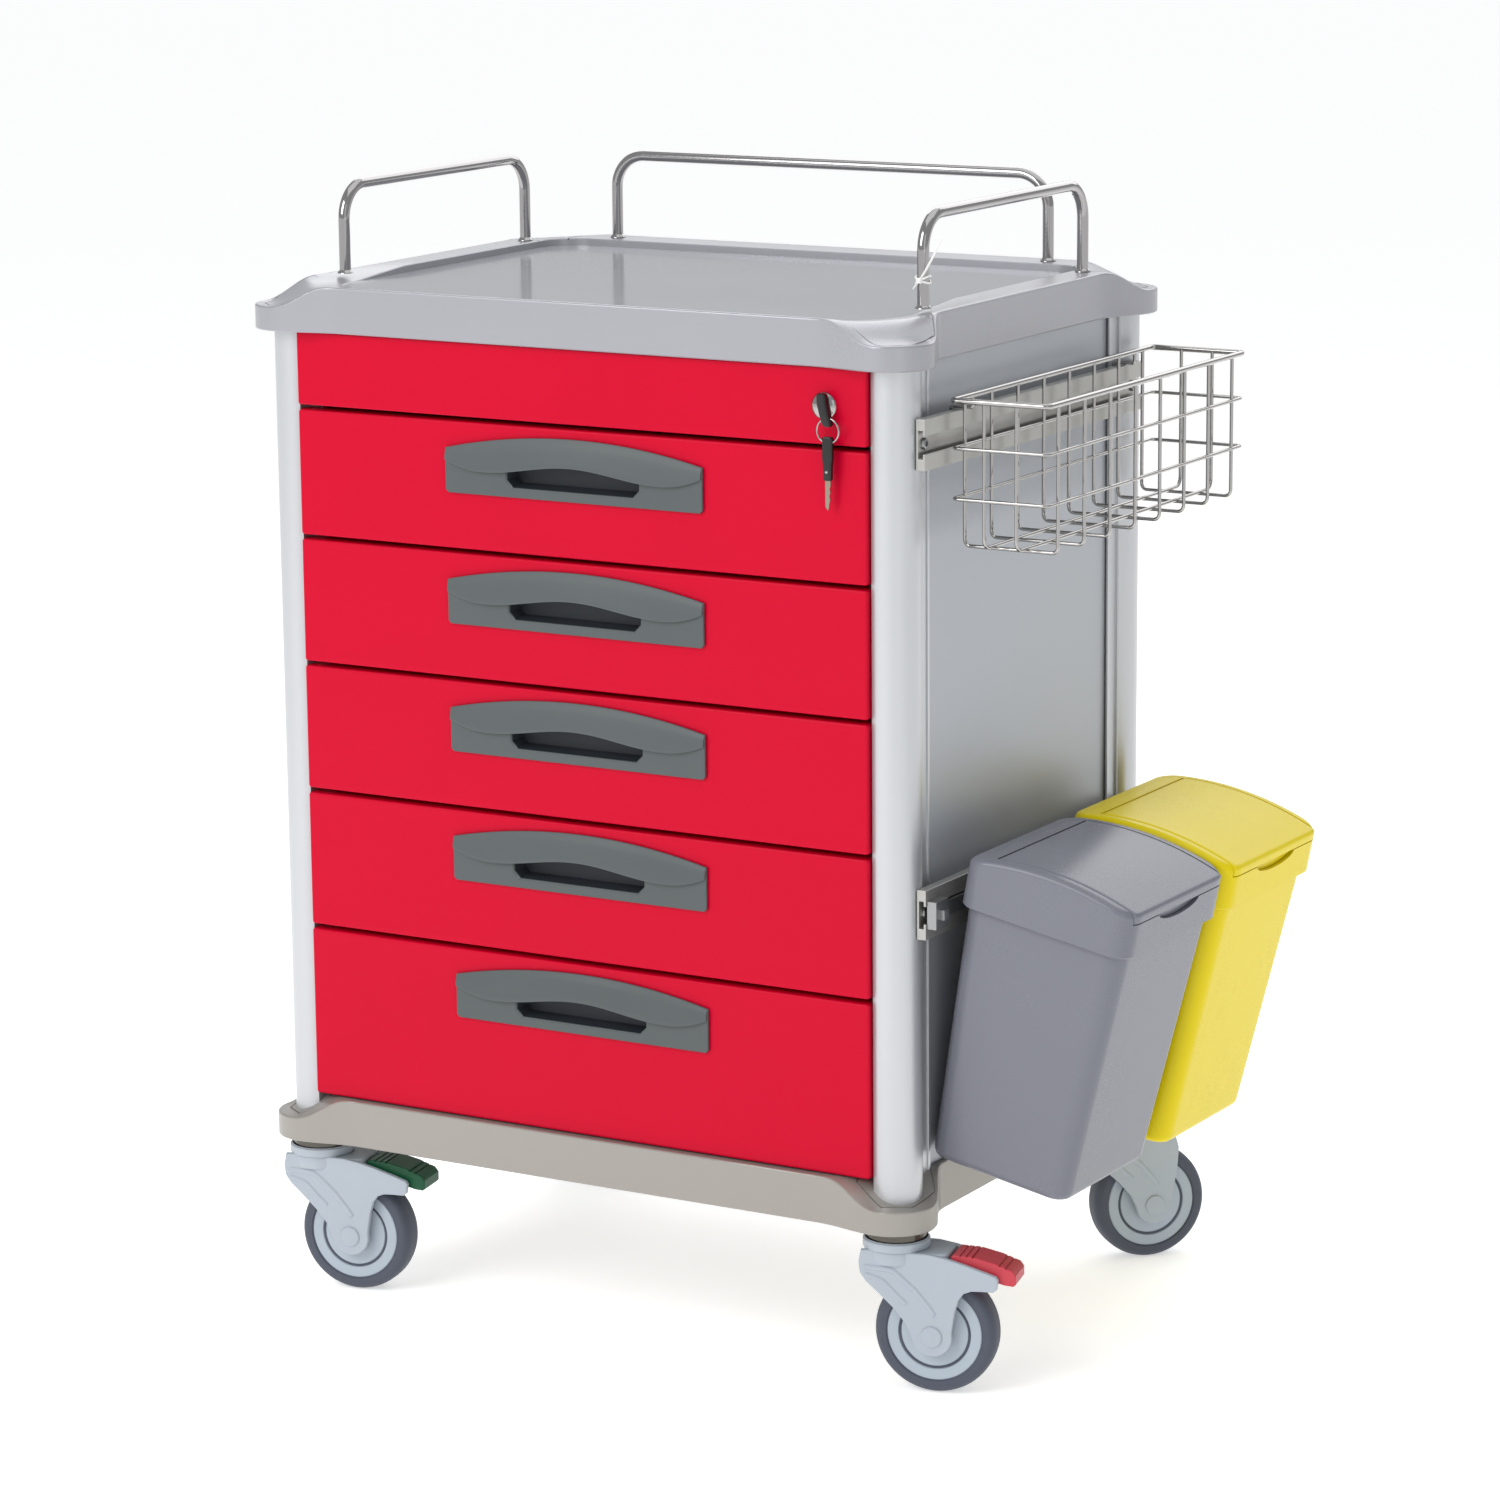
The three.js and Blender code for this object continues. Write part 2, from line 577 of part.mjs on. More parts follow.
function fork() {
  const { top, crown, armInner, armOuter } = FORK;
  let body = post(0, 0, top - 14, top, crown, 28);
  for (const side of [-1, 1]) {
    const [a, b] = [side * armInner, side * armOuter];
    body = join(body, slab(armShape(), Math.min(a, b), Math.max(a, b), 6));
  }
  body = join(body, block(-20, 44, -armInner - 1, armInner + 1, top - 14, top - 3));
  body = join(body, pin(WHEEL.trail, WHEEL.radius, -armOuter + 1, armOuter - 1, FORK.pin, 20));
  const socket = post(0, 0, top - 13, top + 1, 9.4, 20);
  return cut(body, socket);
}

// Rubber tyre and hub in one.
function wheel() {
  const { radius, width, bore } = WHEEL;
  const half = width / 2;
  const profile = [
    [bore, -half], [42, -half], [48, -half + 4], [radius, -half + 10], [radius, half - 10], [48, half - 4],
    [42, half], [bore, half], [bore, -half],
  ];
  const points = profile.map(([r, y]) => new THREE.Vector2(r, y));
  return asSolid(new THREE.LatheGeometry(points, 32)).translate([WHEEL.trail, 0, WHEEL.radius]);
}

function pedal() {
  const { hinge, hingeZ, tip, tipLow, tipHigh, width } = PEDAL;
  const side = polygon([
    [hinge - 1, hingeZ - 2], [hinge + 12, hingeZ - 4], [tip - 6, tipLow], [tip, tipLow], [tip, tipHigh],
    [tip - 8, tipHigh + 6], [hinge + 16, hingeZ + 8], [hinge - 1, hingeZ + 8],
  ]);
  return slab(side, -width / 2, width / 2);
}

function addCasters() {
  for (const [name, { side, end, turn, pedal: colour }] of Object.entries(CASTERS)) {
    const caster = new THREE.Group();
    caster.position.set(side * COLUMN.x, COLUMN[end], 0);
    caster.rotation.z = THREE.MathUtils.degToRad(turn);
    add(caster, `caster_stem_${name}`, casterStem(), STEEL);
    add(caster, `fork_${name}`, fork(), CASTER_GREY);
    add(caster, `wheel_${name}`, wheel(), TYRE);
    if (colour) add(caster, `brake_pedal_${name}`, pedal(), finish(colour, 0.45));
    cart.add(caster);
  }
}

// ---------- assembly ----------
add(cart, 'top_tray', topTray(), TRAY_GREY);
add(cart, 'base_tray', trayBody(BASE, BASE.top), BASE_GREY);
for (const [name, [side, end]] of Object.entries(CORNERS)) {
  add(cart, `column_${name}`, column(side, end), ALUMINIUM);
}
for (const [name, side] of [['left', -1], ['right', 1]]) {
  add(cart, `side_panel_${name}`, sidePanel(side), PANEL_GREY);
  add(cart, `runner_rack_${name}`, runnerRack(side), STEEL);
  const x = side * SIDE_RAIL.x;
  add(cart, `guard_rail_${name}`, guardRail(x, SIDE_RAIL.front, x, SIDE_RAIL.rear, 34), STEEL);
}
add(cart, 'guard_rail_rear', guardRail(-REAR_RAIL.x, REAR_RAIL.y, REAR_RAIL.x, REAR_RAIL.y, 44), STEEL);
add(cart, 'back_panel', backPanel(), PANEL_GREY);
add(cart, 'lock_panel', lockPanel(), RED);
add(cart, 'lock_body', lockBody(), STEEL);
add(cart, 'key_in_lock', keyInLock(), BLACK);
add(cart, 'spare_key', spareKey(), BLACK);
add(cart, 'lock_bar', lockBar(), STEEL);
add(cart, 'accessory_rail_upper', hangRail(HANG_RAIL.upper), ALUMINIUM);
add(cart, 'accessory_rail_lower', hangRail(HANG_RAIL.lower), ALUMINIUM);
add(cart, 'bin_hanger', binHanger(), STEEL);
add(cart, 'basket', basket(), STEEL);
DRAWERS.forEach((edges, i) => {
  add(cart, `drawer_${i + 1}_front`, drawerFront(edges), RED);
  add(cart, `drawer_${i + 1}_box`, drawerBox(edges), BOX_GREY);
  add(cart, `drawer_${i + 1}_handle`, drawerHandle(edges[1]), HANDLE_GREY);
});
addBins();
addCasters();

// Origin at the middle of the underside of the whole object's box.
const bounds = new THREE.Box3().setFromObject(cart, true);
cart.children.forEach((piece) => {
  piece.position.x -= (bounds.min.x + bounds.max.x) / 2;
  piece.position.y -= (bounds.min.y + bounds.max.y) / 2;
  piece.position.z -= bounds.min.z;
});

export default cart;
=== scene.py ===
import math

import bmesh
import bpy
from mathutils import Matrix, Vector


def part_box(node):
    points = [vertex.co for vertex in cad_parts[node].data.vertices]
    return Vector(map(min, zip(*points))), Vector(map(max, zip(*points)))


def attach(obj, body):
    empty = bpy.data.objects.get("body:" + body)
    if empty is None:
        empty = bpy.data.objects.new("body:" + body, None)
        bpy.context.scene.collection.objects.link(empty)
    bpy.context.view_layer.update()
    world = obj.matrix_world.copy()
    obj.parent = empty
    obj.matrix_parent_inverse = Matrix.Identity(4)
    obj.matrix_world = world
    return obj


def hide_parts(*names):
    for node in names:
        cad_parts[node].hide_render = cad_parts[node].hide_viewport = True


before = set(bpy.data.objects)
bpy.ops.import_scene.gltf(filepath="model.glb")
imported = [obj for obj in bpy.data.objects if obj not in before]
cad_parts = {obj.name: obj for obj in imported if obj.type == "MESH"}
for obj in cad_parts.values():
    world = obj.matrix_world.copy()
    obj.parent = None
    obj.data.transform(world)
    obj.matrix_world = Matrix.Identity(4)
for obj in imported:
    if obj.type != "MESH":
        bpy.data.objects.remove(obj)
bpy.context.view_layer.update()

MM = 0.001
face_low, face_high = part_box("drawer_1_front")
ORIGIN = Vector(((face_low.x + face_high.x) / 2, face_low.y, 0.0))
TO_PART = Matrix.Translation(ORIGIN) @ Matrix.Scale(MM, 4)
TAU = 2 * math.pi


def cad(node):
    """Box of a CAD node in drawing millimetres, as (x0, x1, y0, y1, z0, z1)."""
    low, high = ((corner - ORIGIN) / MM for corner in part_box(node))
    return low.x, high.x, low.y, high.y, low.z, high.z


# ---------- sizes (mm) ----------
COLUMN_X = 278
COLUMN_Y = {"front": 23, "rear": 405}
COLUMN_RADIUS = 21
MIDDLE = sum(COLUMN_Y.values()) / 2
TOP_TRAY = {"bottom": 820.5, "top": 858.5, "drop": 17.5, "half": 291, "front": -6, "ear": 34}
BASE_TRAY = {"bottom": 134.5, "top": 174, "drop": 19, "half": 292, "front": -6, "ear": 34}
EAR_SHIFT = 4
SHOULDER = 58
EAR_SLOPE = {"inset": 9, "start": 1, "run": 45, "across": 0.767, "deep": 0.642}
# Joint lines of the ear caps, about the ear's middle, outwards in x and y.
TOP_CAP = [(-30, 2), (-24, 20), (4, 29), (23, 12), (28, -18), (12, -42), (-12, -50), (-30, -34)]
BASE_CAP = [(-31, 0), (-25, 16), (2, 25), (22, 10), (26, -20), (6, -46), (-22, -44), (-34, -22)]
# Strips of a column's flange: start and stop away from the column's middle, inner and outer x.
FLANGE = ((13, 34, 287.7, 289.4), (30.5, 34, 287.7, 290.6), (14, 17.5, 287.7, 291.5))
SHEET = {"half": 262, "front": 27, "rear": 396, "z": 852.5, "cut_x": 40, "cut_y": 57, "rear_radius": 32,
         "rise_start": 84, "rise_end": 150}
RAIL_RADIUS = 4.75
BEND = 28
HANDLE = {"half": 120.5, "bottom": 57.8, "ends": 36.5, "peak": 50.5, "plate": 3, "bulge": 4}
GRIP = {"half": 62, "low": 8, "sides": 20.4, "peak": 27.6, "corner": 6, "depth": 13}
DIP = {"x": 84, "z": 19, "ends": 27}
KEY_LEAN = 8
DRAWERS = range(1, 6)
SIDES = {"left": -1, "right": 1}
# Side, end and swivel angle in degrees of each corner's caster.
CORNERS = {
    "front_left": (-1, "front", 10),
    "front_right": (1, "front", 14),
    "rear_left": (-1, "rear", 28),
    "rear_right": (1, "rear", 47),
}
BIN_TILT = math.radians(11.5)
BIN_SEAT = (300.5, 198)


# ---------- materials ----------
def linear(code):
    """Linear colour of an sRGB hex code."""
    values = [int(code[i:i + 2], 16) / 255 for i in (0, 2, 4)]
    return [v / 12.92 if v <= 0.04045 else ((v + 0.055) / 1.055) ** 2.4 for v in values]


def finish(name, code, roughness, metallic=0.0, grain=900, bump=0.05, tone=0.05, coat=0.0, stretch=(1, 1, 1),
           spread=0.12, specular=0.5, glow=0.0):
    """A moulded, painted or metal finish: broad colour and gloss variation with a fine grain in relief."""
    material = bpy.data.materials.new(name)
    material.use_nodes = True
    nodes, links = material.node_tree.nodes, material.node_tree.links
    shader = nodes["Principled BSDF"]
    shader.inputs["Metallic"].default_value = metallic
    shader.inputs["Specular IOR Level"].default_value = specular
    shader.inputs["Emission Color"].default_value = (1, 1, 1, 1)
    shader.inputs["Emission Strength"].default_value = glow
    shader.inputs["Coat Weight"].default_value = coat
    shader.inputs["Coat Roughness"].default_value = 0.08
    place = nodes.new("ShaderNodeTexCoord")
    mapping = nodes.new("ShaderNodeMapping")
    mapping.inputs["Scale"].default_value = stretch
    links.new(place.outputs["Object"], mapping.inputs["Vector"])

    broad = nodes.new("ShaderNodeTexNoise")
    broad.inputs["Scale"].default_value = 9
    broad.inputs["Detail"].default_value = 4
    links.new(place.outputs["Object"], broad.inputs["Vector"])
    fine = nodes.new("ShaderNodeTexNoise")
    fine.inputs["Scale"].default_value = grain
    fine.inputs["Detail"].default_value = 3
    links.new(mapping.outputs["Vector"], fine.inputs["Vector"])

    color = linear(code)
    mix = nodes.new("ShaderNodeMix")
    mix.data_type = "RGBA"
    mix.inputs["A"].default_value = [c * (1 - tone) for c in color] + [1]
    mix.inputs["B"].default_value = [min(1, c * (1 + tone)) for c in color] + [1]
    links.new(broad.outputs["Fac"], mix.inputs["Factor"])
    links.new(mix.outputs["Result"], shader.inputs["Base Color"])

    gloss = nodes.new("ShaderNodeMapRange")
    gloss.inputs["From Min"].default_value = 0.3
    gloss.inputs["From Max"].default_value = 0.7
    gloss.inputs["To Min"].default_value = roughness * (1 - spread)
    gloss.inputs["To Max"].default_value = roughness * (1 + spread)
    both = nodes.new("ShaderNodeMath")
    both.operation = "ADD"
    links.new(broad.outputs["Fac"], both.inputs[0])
    links.new(fine.outputs["Fac"], both.inputs[1])
    half = nodes.new("ShaderNodeMath")
    half.operation = "MULTIPLY"
    half.inputs[1].default_value = 0.5
    links.new(both.outputs[0], half.inputs[0])
    links.new(half.outputs[0], gloss.inputs["Value"])
    links.new(gloss.outputs["Result"], shader.inputs["Roughness"])

    relief = nodes.new("ShaderNodeBump")
    relief.inputs["Strength"].default_value = bump
    relief.inputs["Distance"].default_value = 0.0004
    links.new(fine.outputs["Fac"], relief.inputs["Height"])
    links.new(relief.outputs["Normal"], shader.inputs["Normal"])
    return material


BRUSHED = (1, 1, 0.02)
TRAY = finish("tray_silver", "A4A4AA", 0.3, metallic=0.4, grain=1800, bump=0.004, tone=0.015)
WORKTOP = finish("worktop_gloss", "9A9DA1", 0.12, grain=300, bump=0.005, tone=0.015, specular=0.35)
BASE = finish("base_silver", "9C9892", 0.34, metallic=0.3, grain=1800, bump=0.006, tone=0.02)
ALUMINIUM = finish("column_satin", "C4C6C9", 0.36, metallic=0.6, grain=500, bump=0.05, tone=0.02,
                   stretch=BRUSHED)
RAIL_METAL = finish("rail_satin", "B0AFAB", 0.32, metallic=0.7, grain=500, tone=0.03, stretch=(1, 0.02, 1))
PANEL = finish("panel_powder", "ABAFB5", 0.34, metallic=0.2, grain=1500, bump=0.12, tone=0.03)
ZINC = finish("zinc_plate", "9A9B9C", 0.3, metallic=0.9, grain=200, bump=0.06, tone=0.08)
DARK_STEEL = finish("swivel_steel", "5C5A54", 0.25, metallic=0.9, grain=300, bump=0.04, tone=0.06)
STAINLESS = finish("stainless_polish", "A5A3A3", 0.1, metallic=1.0, grain=400, bump=0.01, tone=0.02)
CHROME = finish("chrome_bright", "AAA8A6", 0.1, metallic=1.0, grain=400, bump=0.01, tone=0.02)
RED = finish("red_lacquer", "C6002A", 0.34, grain=1600, bump=0.04, tone=0.03, specular=0.12)
HANDLE_GREY = finish("handle_moulded", "53595A", 0.42, grain=1500, bump=0.12, tone=0.04, specular=0.35)
# Painted shade: the finger pocket gets a darker grey than the handle moulding so that it looks shaded
# inside.
POCKET_PAINTED_SHADE = finish("handle_recess_painted_shade", "2E3238", 0.5, grain=1500, bump=0.14, tone=0.05, specular=0.3)
BLACK = finish("black_moulded", "121213", 0.35, grain=1200, bump=0.08, tone=0.1)
BRASS = finish("key_metal", "9A8E7E", 0.3, metallic=0.95, grain=600, tone=0.08)
BOX = finish("box_moulded", "C9CBCC", 0.45, grain=1200, bump=0.1, tone=0.03)
CASTER = finish("caster_moulded", "ABB4BD", 0.4, grain=1500, bump=0.1, tone=0.04, specular=0.35)
TYRE = finish("tyre_rubber", "4E535F", 0.55, grain=1800, bump=0.2, tone=0.08, spread=0.25, specular=0.3)
HUB = finish("hub_moulded", "AAB5BF", 0.38, grain=1500, bump=0.1, tone=0.04, specular=0.35)
GREEN = finish("pedal_green", "145034", 0.38, grain=1500, bump=0.12, tone=0.06, specular=0.3)
PEDAL_RED = finish("pedal_red", "C4424E", 0.38, grain=1500, bump=0.12, tone=0.06, specular=0.3)
BIN_GREY = finish("bin_grey", "747680", 0.26, grain=1100, bump=0.06, tone=0.03, specular=0.4)
BIN_YELLOW = finish("bin_yellow", "E2CD0C", 0.28, grain=1100, bump=0.06, tone=0.03, specular=0.2)
TIE = finish("tie_nylon", "F1F1EE", 0.35, grain=900, bump=0.06, tone=0.02)
STUDIO = finish("studio_white", "F4F4F3", 0.8, grain=40, bump=0.0, tone=0.004, specular=0.1, glow=0.5)


# ---------- mesh helpers ----------
def arc(cx, cy, radius, start, end, steps):
    """Points along a circle, angles in degrees, both ends included."""
    angles = [math.radians(start + (end - start) * i / steps) for i in range(steps + 1)]
    return [(cx + radius * math.cos(a), cy + radius * math.sin(a)) for a in angles]


def round_rect(x0, x1, y0, y1, radius, steps=6):
    corners = [(x1 - radius, y0 + radius, -90), (x1 - radius, y1 - radius, 0),
               (x0 + radius, y1 - radius, 90), (x0 + radius, y0 + radius, 180)]
    return [p for cx, cy, a in corners for p in arc(cx, cy, radius, a, a + 90, steps)]


def ease(t):
    t = min(1.0, max(0.0, t))
    return (1 - math.cos(math.pi * t)) / 2


def raise_outline(outline, level, axis="z"):
    """The outline's points in space, on the plane where the given axis has that level."""
    index = "xyz".index(axis)
    return [Vector((*point[:index], level, *point[index:])) for point in outline]


def loft(bm, rings, capped=True, looped=False):
    """Faces between rings of equal length; looped joins the last ring to the first."""
    made = [[bm.verts.new(p) for p in ring] for ring in rings]
    pairs = list(zip(made, made[1:] + made[:1] if looped else made[1:]))
    for lower, upper in pairs:
        for i in range(len(lower)):
            j = (i + 1) % len(lower)
            bm.faces.new((lower[i], lower[j], upper[j], upper[i]))
    if capped and not looped:
        bm.faces.new(list(reversed(made[0])))
        bm.faces.new(made[-1])
    return bm


def prism(bm, outline, start, end, axis="z", soften=0.0, segments=2):
    """A straight extrusion along an axis, its two faces' edges rounded when soften is given."""
    if soften:
        rings = rounded_ends(outline, soften, start, end, axis, segments)
    else:
        rings = [raise_outline(outline, start, axis), raise_outline(outline, end, axis)]
    return loft(bm, rings)


def offset(outline, distance):
    """The closed outline moved inwards by distance, for outlines that run anticlockwise."""
    area = sum(a[0] * b[1] - b[0] * a[1] for a, b in zip(outline, outline[1:] + outline[:1]))
    turn = 1 if area > 0 else -1
    moved = []
    count = len(outline)
    for i, point in enumerate(outline):
        before, after = Vector(outline[i - 1]), Vector(outline[(i + 1) % count])
        here = Vector(point)
        first, second = here - before, after - here
        normals = [Vector((-d.y, d.x)).normalized() for d in (first, second) if d.length > 1e-6]
        normal = sum(normals, Vector((0, 0)))
        scale = 1.0
        if normal.length > 1e-6:
            normal.normalize()
            scale = 1 / max(0.5, normal.dot(normals[0]))
        moved.append(tuple(here + turn * distance * scale * normal))
    return moved


def quarter(radius, steps):
    """A rounded edge as (in from the wall, down from the top) pairs, from the wall up to the top."""
    turns = [math.pi / 2 * i / steps for i in range(steps + 1)]
    return [(radius * (1 - math.cos(a)), radius * (1 - math.sin(a))) for a in turns]


def rounded_ends(outline, soften, start, end, axis, segments):
    """Rings of an extrusion whose two ends are rounded."""
    sign = 1 if end > start else -1
    turn = quarter(soften, segments)
    rings = [raise_outline(offset(outline, inset), start + sign * along, axis) for along, inset in turn]
    rings += [raise_outline(offset(outline, inset), end - sign * along, axis) for inset, along in turn]
    return rings


def block(bm, x0, x1, y0, y1, z0, z1, soften=0.0, corner=0.6):
    """A box with rounded vertical corners and, with soften, rounded top and bottom edges."""
    return prism(bm, round_rect(x0, x1, y0, y1, corner, 3), z0, z1, "z", soften)


def revolve(bm, profile, centre, axis="z", sides=40):
    """A turned shape: profile is (radius, distance along the axis), from one end to the other."""
    rings = []
    for radius, along in profile:
        ring = []
        for i in range(sides):
            a = TAU * i / sides
            flat = (radius * math.cos(a), radius * math.sin(a))
            if axis == "z":
                ring.append(Vector((flat[0], flat[1], along)) + Vector(centre))
            else:
                ring.append(Vector((flat[0], along, flat[1])) + Vector(centre))
        rings.append(ring)
    return loft(bm, rings)


def sweep(bm, path, radius, sides=12, closed=False):
    """A round wire along a list of points, with a frame carried along so that it doesn't twist."""
    points = [Vector(p) for p in path]
    count = len(points)
    tangents = []
    for i in range(count):
        before = points[i - 1] if closed or i else points[i]
        after = points[(i + 1) % count] if closed or i < count - 1 else points[i]
        tangents.append((after - before).normalized())
    guide = Vector((0, 0, 1)) if abs(tangents[0].z) < 0.9 else Vector((0, 1, 0))
    side = tangents[0].cross(guide).normalized()
    turns = [TAU * k / sides for k in range(sides)]
    rings = []
    for point, tangent in zip(points, tangents):
        side = (side - tangent * side.dot(tangent)).normalized()
        other = tangent.cross(side)
        rings.append([point + radius * (math.cos(a) * side + math.sin(a) * other) for a in turns])
    return loft(bm, rings, capped=not closed, looped=closed)


def rounded_path(corners, radius, steps=6, closed=False):
    """A path through corners with each bend rounded."""
    points = [Vector(c) for c in corners]
    count = len(points)
    path = []
    for i, corner in enumerate(points):
        if not closed and i in (0, count - 1):
            path.append(corner)
            continue
        into = (points[i - 1] - corner).normalized()
        out = (points[(i + 1) % count] - corner).normalized()
        half = math.acos(max(-1, min(1, into.dot(out)))) / 2
        reach = radius / math.tan(half)
        centre = corner + (into + out).normalized() * radius / math.sin(half)
        first, last = corner + into * reach - centre, corner + out * reach - centre
        for k in range(steps + 1):
            turned = first.normalized().slerp(last.normalized(), k / steps)
            path.append(centre + turned * first.length)
    return path


def evaluated(obj):
    """A copy of the object's mesh with its modifiers applied."""
    depsgraph = bpy.context.evaluated_depsgraph_get()
    return bpy.data.meshes.new_from_object(obj.evaluated_get(depsgraph))


def as_object(name, bm):
    bmesh.ops.recalc_face_normals(bm, faces=bm.faces)
    mesh = bpy.data.meshes.new(name)
    bm.to_mesh(mesh)
    bm.free()
    obj = bpy.data.objects.new(name, mesh)
    bpy.context.scene.collection.objects.link(obj)
    return obj


def subtract(bm, *cutters):
    """The solid with the cutters taken out of it."""
    base = as_object("cut_base", bm)
    tools = [as_object("cut_tool", cutter) for cutter in cutters]
    for tool in tools:
        cut = base.modifiers.new("cut", "BOOLEAN")
        cut.operation = "DIFFERENCE"
        cut.solver = "EXACT"
        cut.object = tool
    result = bmesh.new()
    result.from_mesh(evaluated(base))
    for obj in [base, *tools]:
        bpy.data.objects.remove(obj)
    return result


def round_edges(obj, bevel):
    """A fine rounding (mm) along the mesh's real edges."""
    rounding = obj.modifiers.new("edges", "BEVEL")
    rounding.width = bevel * MM
    rounding.segments = 2
    rounding.limit_method = "ANGLE"
    rounding.angle_limit = math.radians(28)


def dress(obj, sharp, bevel):
    """Smooth shading with crisp edges, and a fine bevel where asked for (mm)."""
    if bevel:
        round_edges(obj, bevel)
    for polygon in obj.data.polygons:
        polygon.use_smooth = True
    if not bevel:
        obj.data.set_sharp_from_angle(angle=math.radians(sharp))
    weighted = obj.modifiers.new("normals", "WEIGHTED_NORMAL")
    weighted.keep_sharp = True
    weighted.weight = 80


def piece(name, bm, body, material, replaces=(), place=None, sharp=32, bevel=0.0):
    """A finished piece from a mesh in drawing millimetres."""
    obj = as_object(name, bm)
    obj.data.transform(TO_PART @ (place or Matrix.Identity(4)))
    obj.data.materials.append(material)
    dress(obj, sharp, bevel)
    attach(obj, body)
    if replaces:
        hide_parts(*replaces)


def keep_cad(node, material, bevel=0.0):
    """A CAD node that shows as it is, with its real finish and softened edges."""
    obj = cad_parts[node]
    obj.data.materials.clear()
    obj.data.materials.append(material)
    if bevel:
        round_edges(obj, bevel)


# ---------- trays ----------
def tray_corner(tray, steps=14):
    """The outline of a corner about the tray's middle: front shoulder, ear, side shoulder, front to side."""
    ear_x, ear_y, ear = COLUMN_X, COLUMN_Y["rear"] + EAR_SHIFT - MIDDLE, tray["ear"]
    half_depth = MIDDLE - tray["front"]
    points = []
    for i in range(steps):
        t = i / steps
        points.append((ear_x - SHOULDER * (1 - t), half_depth + ease(t) * (ear_y + ear - half_depth)))
    points.extend(arc(ear_x, ear_y, ear, 90, 0, steps))
    for i in range(1, steps + 1):
        t = i / steps
        points.append((ear_x + ear + ease(t) * (tray["half"] - ear_x - ear), ear_y - SHOULDER * t))
    return points


def sheet_corner(count, front):
    """The matching corner of the worktop: a long diagonal sweep at the front, a plain radius at the rear."""
    if front:
        across, deep, edge = SHEET["cut_x"], SHEET["cut_y"], MIDDLE - SHEET["front"]
    else:
        across = deep = SHEET["rear_radius"]
        edge = SHEET["rear"] - MIDDLE
    centre = (SHEET["half"] - across, edge - deep)
    return [(centre[0] + across * math.sin(math.pi / 2 * i / (count - 1)),
             centre[1] + deep * math.cos(math.pi / 2 * i / (count - 1))) for i in range(count)]


def tray_pairs(tray):
    """Matching points of the outline and of the worktop's edge at each corner, in order round the tray."""
    corner = tray_corner(tray)
    pairs = []
    for side, front in ((1, True), (1, False), (-1, False), (-1, True)):
        run = list(zip(corner, sheet_corner(len(corner), front)))
        if (side > 0) != front:
            run.reverse()
        sign = -1 if front else 1
        pairs.append([tuple((side * x, MIDDLE + sign * y) for x, y in pair) for pair in run])
    return pairs


def joined_pairs(tray, straight=8):
    """All pairs in one closed run, with points added along the straight stretches."""
    runs = tray_pairs(tray)
    closed = []
    for run, following in zip(runs, runs[1:] + runs[:1]):
        closed.extend(run)
        ends = list(zip(run[-1], following[0]))
        for i in range(1, straight):
            closed.append(tuple(tuple(Vector(a).lerp(Vector(b), i / straight)) for a, b in ends))
    return closed


def ear_drop(tray, x, y):
    """How far the surface has sunk below the tray's top at a point, sloping away towards each ear."""
    across = abs(x) - (COLUMN_X - SHOULDER + EAR_SLOPE["inset"])
    deep = abs(y - MIDDLE) - (MIDDLE - tray["front"])
    distance = across * EAR_SLOPE["across"] + deep * EAR_SLOPE["deep"]
    return tray["drop"] * ease((distance - EAR_SLOPE["start"]) / EAR_SLOPE["run"])


def tray_top(tray, x, y):
    return tray["top"] - ear_drop(tray, x, y)


def tray_rings(tray, outer, inner, inner_level):
    """Rings from the underside, up the skirt, over the rounded edge and in to the worktop."""
    round_edge, steps = 1.8, 9
    foot = ((2.5, 0.0), (0.8, 0.3), (0.0, 1.2))
    rings = [raise_outline(offset(outer, inset), tray["bottom"] + up) for inset, up in foot]
    heights = [tray_top(tray, x, y) for x, y in outer]
    for inset, down in quarter(round_edge, 3):
        rings.append([Vector((x, y, z - down)) for (x, y), z in zip(offset(outer, inset), heights)])
    start = offset(outer, round_edge)
    for k in range(1, steps + 1):
        t = k / steps
        ring = []
        for (ax, ay), (bx, by), level in zip(start, inner, inner_level):
            x, y = ax + t * (bx - ax), ay + t * (by - ay)
            base = tray["top"] + t * (level - tray["top"])
            ring.append(Vector((x, y, base - ear_drop(tray, x, y))))
        rings.append(ring)
    return rings


def cap_groove(tray, side, end, shape, depth=1.4, width=1.1):
    """Cutter for the eight-sided joint line around the cap on an ear."""
    sign = -1 if end == "front" else 1
    centre_y = MIDDLE + sign * (COLUMN_Y["rear"] + EAR_SHIFT - MIDDLE)
    corners = [Vector((side * (COLUMN_X + a), centre_y + sign * b)) for a, b in shape]
    line = []
    for a, b in zip(corners, corners[1:] + corners[:1]):
        line.extend(tuple(a.lerp(b, i / 8)) for i in range(8))
    rings = []
    for (ax, ay), (bx, by) in zip(offset(line, -width / 2), offset(line, width / 2)):
        low_a, low_b = tray_top(tray, ax, ay) - depth, tray_top(tray, bx, by) - depth
        rings.append([Vector((ax, ay, low_a)), Vector((bx, by, low_b)),
                      Vector((bx, by, low_b + depth + 4)), Vector((ax, ay, low_a + depth + 4))])
    return loft(bmesh.new(), rings, looped=True)


def grooved(tray, body, shape):
    """The tray with the joint line of a cap cut round each of its four ears."""
    ears = [(side, end) for side in SIDES.values() for end in COLUMN_Y]
    return subtract(body, *(cap_groove(tray, side, end, shape) for side, end in ears))


def rim_level(y):
    """Height of the edge round the worktop: down at the sheet in front, full height further back."""
    low, start, end = SHEET["z"] + 0.5, SHEET["rise_start"], SHEET["rise_end"]
    return low + (TOP_TRAY["top"] - low) * ease((y - start) / (end - start))


